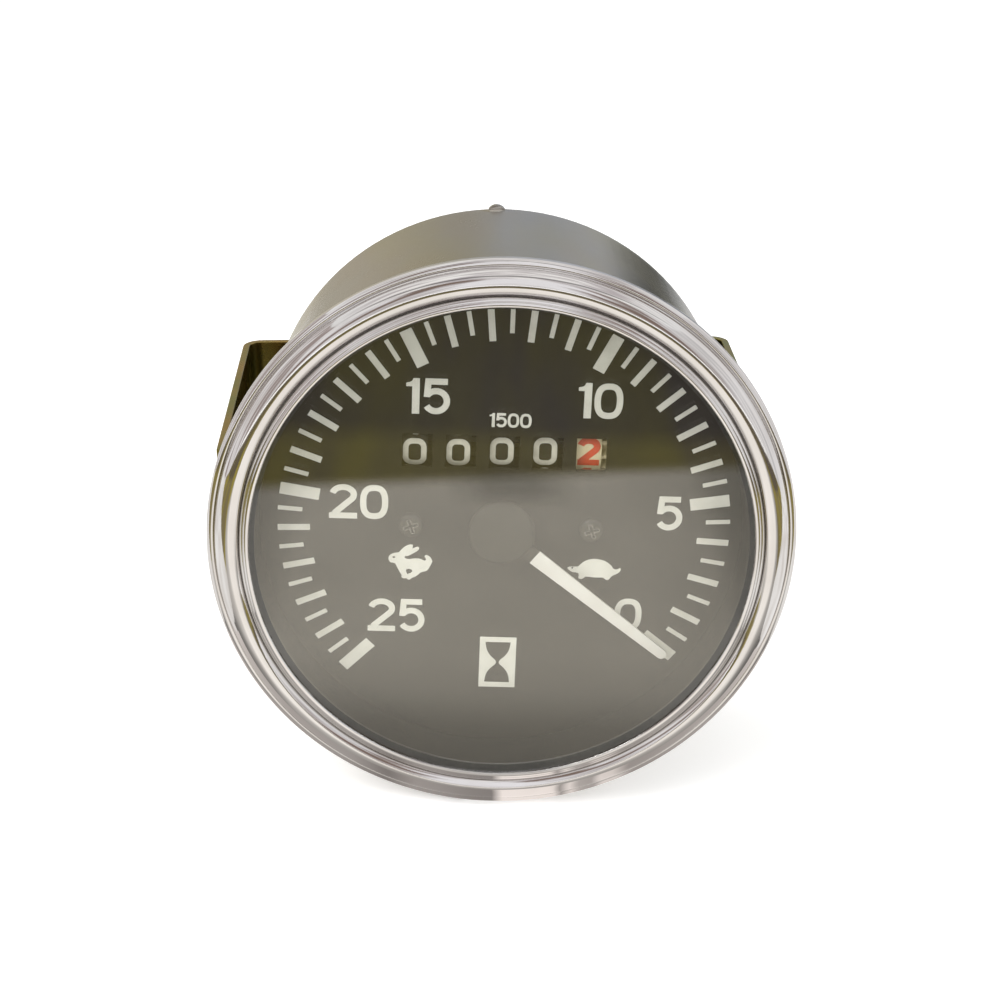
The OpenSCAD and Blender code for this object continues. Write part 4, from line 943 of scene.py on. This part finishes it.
ONE = [(0.17, 0.5), (0.0, 0.5), (-0.03, 0.43), (-0.09, 0.39), (-0.19, 0.37), (-0.19, 0.27),
       (-0.03, 0.27), (-0.03, -0.5), (0.17, -0.5)]
FIGURES = {
    "0": (0.77, [(full_loop(0.3, 0.415), True)]),
    "1": (0.36, []),
    "2": (0.77, [(arc((0, 0.2), (0.29, 0.215), 170, -32, 16) + [(-0.25, -0.36)], False),
                 ([(-0.385, -0.418), (0.385, -0.418)], False)]),
    "3": (0.74, [(arc((0, 0.21), (0.26, 0.2), 165, -90, 14) + [(-0.08, 0.01)], False),
                 (arc((0, -0.2), (0.285, 0.215), 75, -165, 14), False)]),
    "4": (0.78, [([(0.13, 0.5), (0.13, -0.5)], False),
                 ([(0.05, 0.4), (-0.29, -0.2), (0.36, -0.2)], False)]),
    "5": (0.74, [([(0.3, 0.42), (-0.215, 0.42), (-0.25, -0.02)], False),
                 (arc((0, -0.13), (0.29, 0.285), 142, -150, 20), False)]),
    "6": (0.76, [(arc((0, -0.16), (0.285, 0.255), 0, 360, 24)[:-1], True),
                 (arc((0.05, -0.1), (0.33, 0.52), 175, 70, 8), False)]),
    "7": (0.74, [([(-0.3, 0.415), (0.28, 0.415), (0.08, 0.05), (-0.05, -0.5)], False)]),
    "8": (0.76, [(arc((0, 0.21), (0.24, 0.2), 0, 360, 20)[:-1], True),
                 (arc((0, -0.2), (0.285, 0.215), 0, 360, 24)[:-1], True)]),
    "9": (0.76, [(arc((0, 0.16), (0.285, 0.255), 0, 360, 24)[:-1], True),
                 (arc((-0.05, 0.1), (0.33, 0.52), -5, -110, 8), False)]),
}
print(len(FIGURES), "figures")

# %% Numbers on the dial
NUMBER, RATIO_NUMBER = (7.0, 1.2, 0.075), (2.8, 0.5, 0.062)
ONE_ASIDE = 0.01
SCALE_NUMBERS = (("15", (-14.7, 26.0)), ("10", (17.65, 26.1)), ("20", (-27.45, 4.35)),
                 ("5", (32.1, 3.7)), ("25", (-19.9, -19.4)), ("0", (25.5, -18.0)))


def figure_row(text, centre, height, stroke, gap):
    """Ribbons and outlines for a row of figures about a centre. The gap is a share of the
    height."""
    ribbons, outlines = [], []
    left = centre[0] - height * (sum(FIGURES[c][0] for c in text) + gap * (len(text) - 1)) / 2
    for character in text:
        width, lines = FIGURES[character]
        middle = left + height * width / 2
        for line, closed in lines:
            points = [(middle + x * height, centre[1] + y * height) for x, y in line]
            ribbons.append(ribbon(points, stroke, closed))
        if character == "1":
            outlines.append([[(middle + (x + ONE_ASIDE) * height, centre[1] + y * height)
                              for x, y in ONE]])
        left += height * (width + gap)
    return ribbons, outlines


def print_on_dial(name, ribbons, outlines):
    made = ink_mesh(name, ribbons, outlines, on_dial)
    dress(made, "case", "dial_paint", look="dial_print")
    print(name, len(made.data.polygons), "faces")


number_rows = [figure_row(text, centre, *NUMBER) for text, centre in SCALE_NUMBERS]
print_on_dial("scale_numbers", [r for ribbons, outlines in number_rows for r in ribbons],
              [o for ribbons, outlines in number_rows for o in outlines])
print_on_dial("drive_ratio_number", *figure_row("1500", (0.9, 21.7), *RATIO_NUMBER))

# %% [markdown]
# ## The three signs
# A hare for fast, a tortoise for slow and a sand glass for hours are the plain signs that farm
# machines use. Each is an outline about its own middle, with its holes left open.

# %% Signs
HARE = [(-4.3, 0.8), (-4.15, 1.25), (-3.8, 1.6), (-3.4, 1.8), (-2.9, 1.95), (-2.5, 2.0),
    (-2.2, 2.1), (-1.75, 2.75), (-1.2, 3.25), (-0.7, 3.55), (-0.15, 3.75), (0.3, 3.75),
    (0.4, 3.6), (0.3, 2.9), (0.7, 3.1), (1.1, 3.3), (1.4, 3.3), (1.65, 3.05), (1.55, 2.7),
    (1.1, 2.3), (0.55, 1.95), (0, 1.6), (-0.55, 1.3), (-1.0, 1.3), (-1.2, 1.1), (-1.15, 0.9),
    (-0.75, 0.7), (-0.2, 0.65), (0.45, 0.8), (1.35, 0.85), (2.0, 0.75), (2.35, 0.55), (2.75, 0.4),
    (3.0, 0.65), (2.9, 0.95), (2.65, 1.25), (2.8, 1.55), (3.1, 1.65), (3.5, 1.45), (3.85, 1.1),
    (4.1, 0.65), (4.25, 0.3), (4.05, -0.15), (3.85, -0.6), (3.6, -1.1), (3.35, -1.55),
    (3.0, -1.8), (2.35, -1.95), (1.95, -2.15), (1.6, -2.5), (1.25, -2.85), (0.85, -3.1),
    (0.4, -3.25), (0.15, -3.5), (-0.2, -3.75), (-0.55, -3.6), (-0.75, -3.35), (-1.0, -3.45),
    (-1.4, -3.45), (-1.7, -3.2), (-1.8, -2.95), (-1.55, -2.9), (-1.75, -2.6), (-2.05, -2.15),
    (-2.3, -1.65), (-2.55, -1.15), (-2.8, -0.65), (-3.0, -0.3), (-3.4, -0.2), (-3.8, -0.15),
    (-4.05, 0.05), (-4.25, 0.45)]
HARE_BELLY = [(-0.9, -1.7), (-0.7, -1.5), (-0.25, -1.4), (0.15, -1.5), (0.4, -1.8), (0.3, -2.05),
    (0, -2.3), (-0.35, -2.4), (-0.5, -2.6), (-0.65, -2.4), (-0.8, -2.05)]
TORTOISE = [(-5.3, 0.15), (-5.0, 0.4), (-4.4, 0.45), (-3.9, 0.45), (-3.45, 0.45), (-3.1, 0.55),
    (-2.8, 0.95), (-2.3, 1.4), (-1.75, 1.8), (-1.05, 2.05), (-0.25, 2.2), (0.55, 2.15),
    (1.35, 2.0), (2.05, 1.75), (2.7, 1.35), (3.25, 0.85), (3.65, 0.25), (4.15, 0.05),
    (4.55, 0.15), (4.95, 0.45), (5.15, 0.15), (5.0, -0.35), (4.6, -0.75), (4.05, -1.05),
    (3.55, -1.3), (3.25, -1.6), (2.95, -2.1), (2.55, -2.25), (2.15, -2.05), (1.75, -1.7),
    (0.95, -1.75), (0, -1.75), (-1.05, -1.65), (-1.65, -1.6), (-1.95, -1.95), (-2.4, -2.15),
    (-2.95, -2.1), (-3.05, -1.8), (-2.95, -1.45), (-3.05, -1.0), (-3.45, -0.8), (-4.05, -0.75),
    (-4.55, -0.6), (-5.0, -0.25)]
WAIST = [(0, 0.28), (0.4, 0.4), (0.8, 0.8), (1.3, 1.35), (1.9, 1.8), (2.6, 2.15), (3.4, 2.35),
    (4.4, 2.5)]
upper = [(w, z) for z, w in WAIST]
sand_glass = (upper + [(-w, z) for w, z in reversed(upper)] + [(-w, -z) for w, z in upper[1:]]
              + [(w, -z) for w, z in reversed(upper[1:])])
hare_eye, tortoise_eye = (arc(mid, radii, 0, 330, 11) for mid, radii in (
    ((-3.25, 1.0), (0.28, 0.2)), ((-4.3, 0.2), (0.2, 0.2))))
plate_round = [(-3.6, -5.5), (3.6, -5.5), (3.6, 5.5), (-3.6, 5.5)]
SIGNS = (("fast_sign", (-17.3, -8.0), [HARE, HARE_BELLY, hare_eye]),
         ("slow_sign", (18.4, -8.4), [TORTOISE, tortoise_eye]),
         ("hours_sign", (0.3, -29.1), [plate_round, sand_glass]))
for name, (x_middle, z_middle), loops in SIGNS:
    print_on_dial(name, [], [[[(x + x_middle, z + z_middle) for x, z in loop] for loop in loops]])

# %% [markdown]
# ## The scale's ticks
# The ticks are bars of three sizes in equal steps of angle. Geometry Nodes make each row: a line
# of points in one place, a bar on each, and a rotation that grows with the point's index. The
# bars are realised at the end, because an exported model has no instances.

# %% Tick tree
def three(tree, **parts):
    return put(tree, "ShaderNodeCombineXYZ", parts).outputs[0]


def moved(tree, geometry, way):
    feeds = {"Geometry": geometry, "Translation": way}
    return put(tree, "GeometryNodeTransform", feeds).outputs[0]


tree, given, result = new_group(
    "tick_row", {"Ticks": "Int", "First angle": "Float", "Step": "Float", "Inner radius": "Float",
                 "Outer radius": "Float", "Width": "Float", "Depth": "Float",
                 "Centre": "Vector", "Ink": "Material"},
    {"Geometry": "Geometry"}, "GeometryNodeTree")
inner, outer = given["Inner radius"], given["Outer radius"]
size = three(tree, X=math_node(tree, "SUBTRACT", outer, inner),
             Y=INK * MM + INK_ROOT * MM, Z=given["Width"])
bar = put(tree, "GeometryNodeMeshCube", {"Size": size}).outputs["Mesh"]
middle = math_node(tree, "DIVIDE", plus(tree, outer, inner), 2)
placed = moved(tree, bar, three(tree, X=middle, Y=given["Depth"]))
row = put(tree, "GeometryNodeMeshLine", {"Count": given["Ticks"], "Offset": (0, 0, 0)},
          mode="OFFSET")
number = put(tree, "GeometryNodeInputIndex").outputs[0]
angle = plus(tree, given["First angle"], times(tree, number, given["Step"]))
spread = put(tree, "GeometryNodeInstanceOnPoints", {
    "Points": row.outputs["Mesh"], "Instance": placed,
    "Rotation": three(tree, Y=times(tree, angle, -1))})
real = put(tree, "GeometryNodeRealizeInstances", {"Geometry": spread.outputs[0]})
inked = put(tree, "GeometryNodeSetMaterial", {
    "Geometry": moved(tree, real.outputs[0], given["Centre"]), "Material": given["Ink"]})
feed(tree, result["Geometry"], inked.outputs[0])
tick_row = tree
print("tick tree:", len(tree.nodes), "nodes")

# %% Tick rows
OUTER, MINOR, MEDIUM, MAJOR = 43.5, (38.8, 0.87), (37.3, 1.26), (35.9, 2.4)
UNIT, FIVE, LOW_UNIT, AT_FIVE, AT_ZERO = 10.8, 54, 5.875, 9, -38
PRINT_RIGHT = 0.55
TICK_ROWS = (
    ("halves", MINOR, 20, AT_FIVE + UNIT / 2, UNIT),
    *(("units_" + part, MEDIUM, 4, AT_FIVE + FIVE * i + UNIT, UNIT)
      for i, part in enumerate("abcd")),
    ("fives", MAJOR, 5, AT_FIVE, FIVE),
    ("low_halves", MINOR, 4, AT_ZERO + LOW_UNIT, 2 * LOW_UNIT),
    ("low_units", MEDIUM, 3, AT_ZERO + 2 * LOW_UNIT, 2 * LOW_UNIT),
    ("zero", MAJOR, 1, AT_ZERO, 1))


def run_tree(name, tree, values):
    """Runs a tree on an empty mesh, its inputs set by identifier, and keeps the plain result."""
    host = new_object(name + "_host", bpy.data.meshes.new(name + "_host"))
    modifier = host.modifiers.new("nodes", "NODES")
    modifier.node_group = tree
    for item in tree.interface.items_tree:
        if item.item_type == "SOCKET" and item.in_out == "INPUT":
            modifier[item.identifier] = values[item.name]
    mesh = settled_mesh(host)
    mesh.name = name
    bpy.data.objects.remove(host)
    return new_object(name, mesh)


for name, (inner, width), count, first, step in TICK_ROWS:
    ticks = run_tree("ticks_" + name, tick_row, {
        "Ticks": count, "First angle": math.radians(first), "Step": math.radians(step),
        "Inner radius": inner * MM, "Outer radius": OUTER * MM, "Width": width * MM,
        "Depth": (DIAL_FACE - INK / 2 + INK_ROOT / 2) * MM, "Centre": (PRINT_RIGHT * MM, 0, 0),
        "Ink": finishes["dial_print"]})
    dress(ticks, "case", "dial_paint", look="dial_print")
print(sum(row[2] for row in TICK_ROWS), "ticks in", len(TICK_ROWS), "rows")

# %% [markdown]
# ## Figures on the counter's drums
# Ten figures stand round each drum, a tenth of a turn apart. The front of a drum moves down as
# it counts, so the next higher figure stands above the one that shows. As in the photograph, no
# two drums show their figure at quite the same height.

# %% Drum helpers
DRUM_Y, DRUM_Z, DRUM_R, DRUM_PITCH = 19.2, 15.2, 9.5, 8.27
LIFT_GAIN, FINE_STEP = 1.4, 0.35


def on_drum(x_middle):
    def place(u, v, lift):
        radius, angle = DRUM_R + lift * LIFT_GAIN, v / DRUM_R
        return Vector((x_middle + u, DRUM_Y - radius * math.cos(angle),
                       DRUM_Z + radius * math.sin(angle))) * MM
    return place


def finely(points, closed):
    """The same line with points close enough together to bend round a drum."""
    made = []
    for a, b in zip(points, points[1:] + points[:1] if closed else points[1:]):
        parts = max(1, math.ceil((Vector(b) - Vector(a)).length / FINE_STEP))
        made += [(a[0] + (b[0] - a[0]) * i / parts, a[1] + (b[1] - a[1]) * i / parts)
                 for i in range(parts)]
    return made if closed else made + [points[-1]]


print("drums of radius", DRUM_R)

# %% Drum figures
DRUMS = (("thousands_drum", 0.36, 0), ("hundreds_drum", 0.28, 0), ("tens_drum", -0.22, 0),
         ("ones_drum", -0.46, 0), ("tenths_arbor", -0.75, 2))
FIGURES_LEFT, FIGURES_LOW = 0.45, 0.65
WHOLE_FIGURE, TENTHS_FIGURE = (4.6, 1.05, 1.12), (5.4, 1.3, 1.0)
DRUM_ZERO = [(rounded_loop(1.72, 2.28, 1.25), True)]
DRUM_ONE = [([(0.1, -2.4), (0.1, 2.4)], False), ([(-0.9, 1.5), (-0.25, 1.9)], False)]
for index, (body, drop, shown) in enumerate(DRUMS):
    x_middle = DRUM_PITCH * (index - 2) - FIGURES_LEFT
    last = body == "tenths_arbor"
    height, stroke, widen = TENTHS_FIGURE if last else WHOLE_FIGURE
    ribbons = []
    for number in range(10):
        v_middle = (number - shown) * 36 * math.pi / 180 * DRUM_R - FIGURES_LOW - drop
        lines = [([(x * height * widen, y * height) for x, y in line], closed)
                 for line, closed in FIGURES[str(number)][1]]
        if number == 0 and not last:
            lines = DRUM_ZERO
        if number == 1:
            lines = DRUM_ONE
        for line, closed in lines:
            points = finely([(x, v_middle + y) for x, y in line], closed)
            ribbons.append(ribbon(points, stroke, closed))
    figures = ink_mesh("figures_" + body, ribbons, [], on_drum(x_middle))
    dress(figures, body, "cream_drum" if last else "black_drum",
          look="red_print" if last else "drum_print")
print("figures on", len(DRUMS), "drums")

# %% [markdown]
# ## What carries over from the CAD
# Every other node keeps its own mesh and takes its slot's finish. The dial's screws have a dark
# paint of their own that is worn at the edges, with painted shade in their recesses.

# %% Finishes on the CAD nodes
for name, node in nodes.items():
    slot = node.data.materials[0].name
    node.data.materials[0] = finishes["screw_paint" if name == "dial_screws" else slot]
print("finishes on", len(nodes), "nodes")
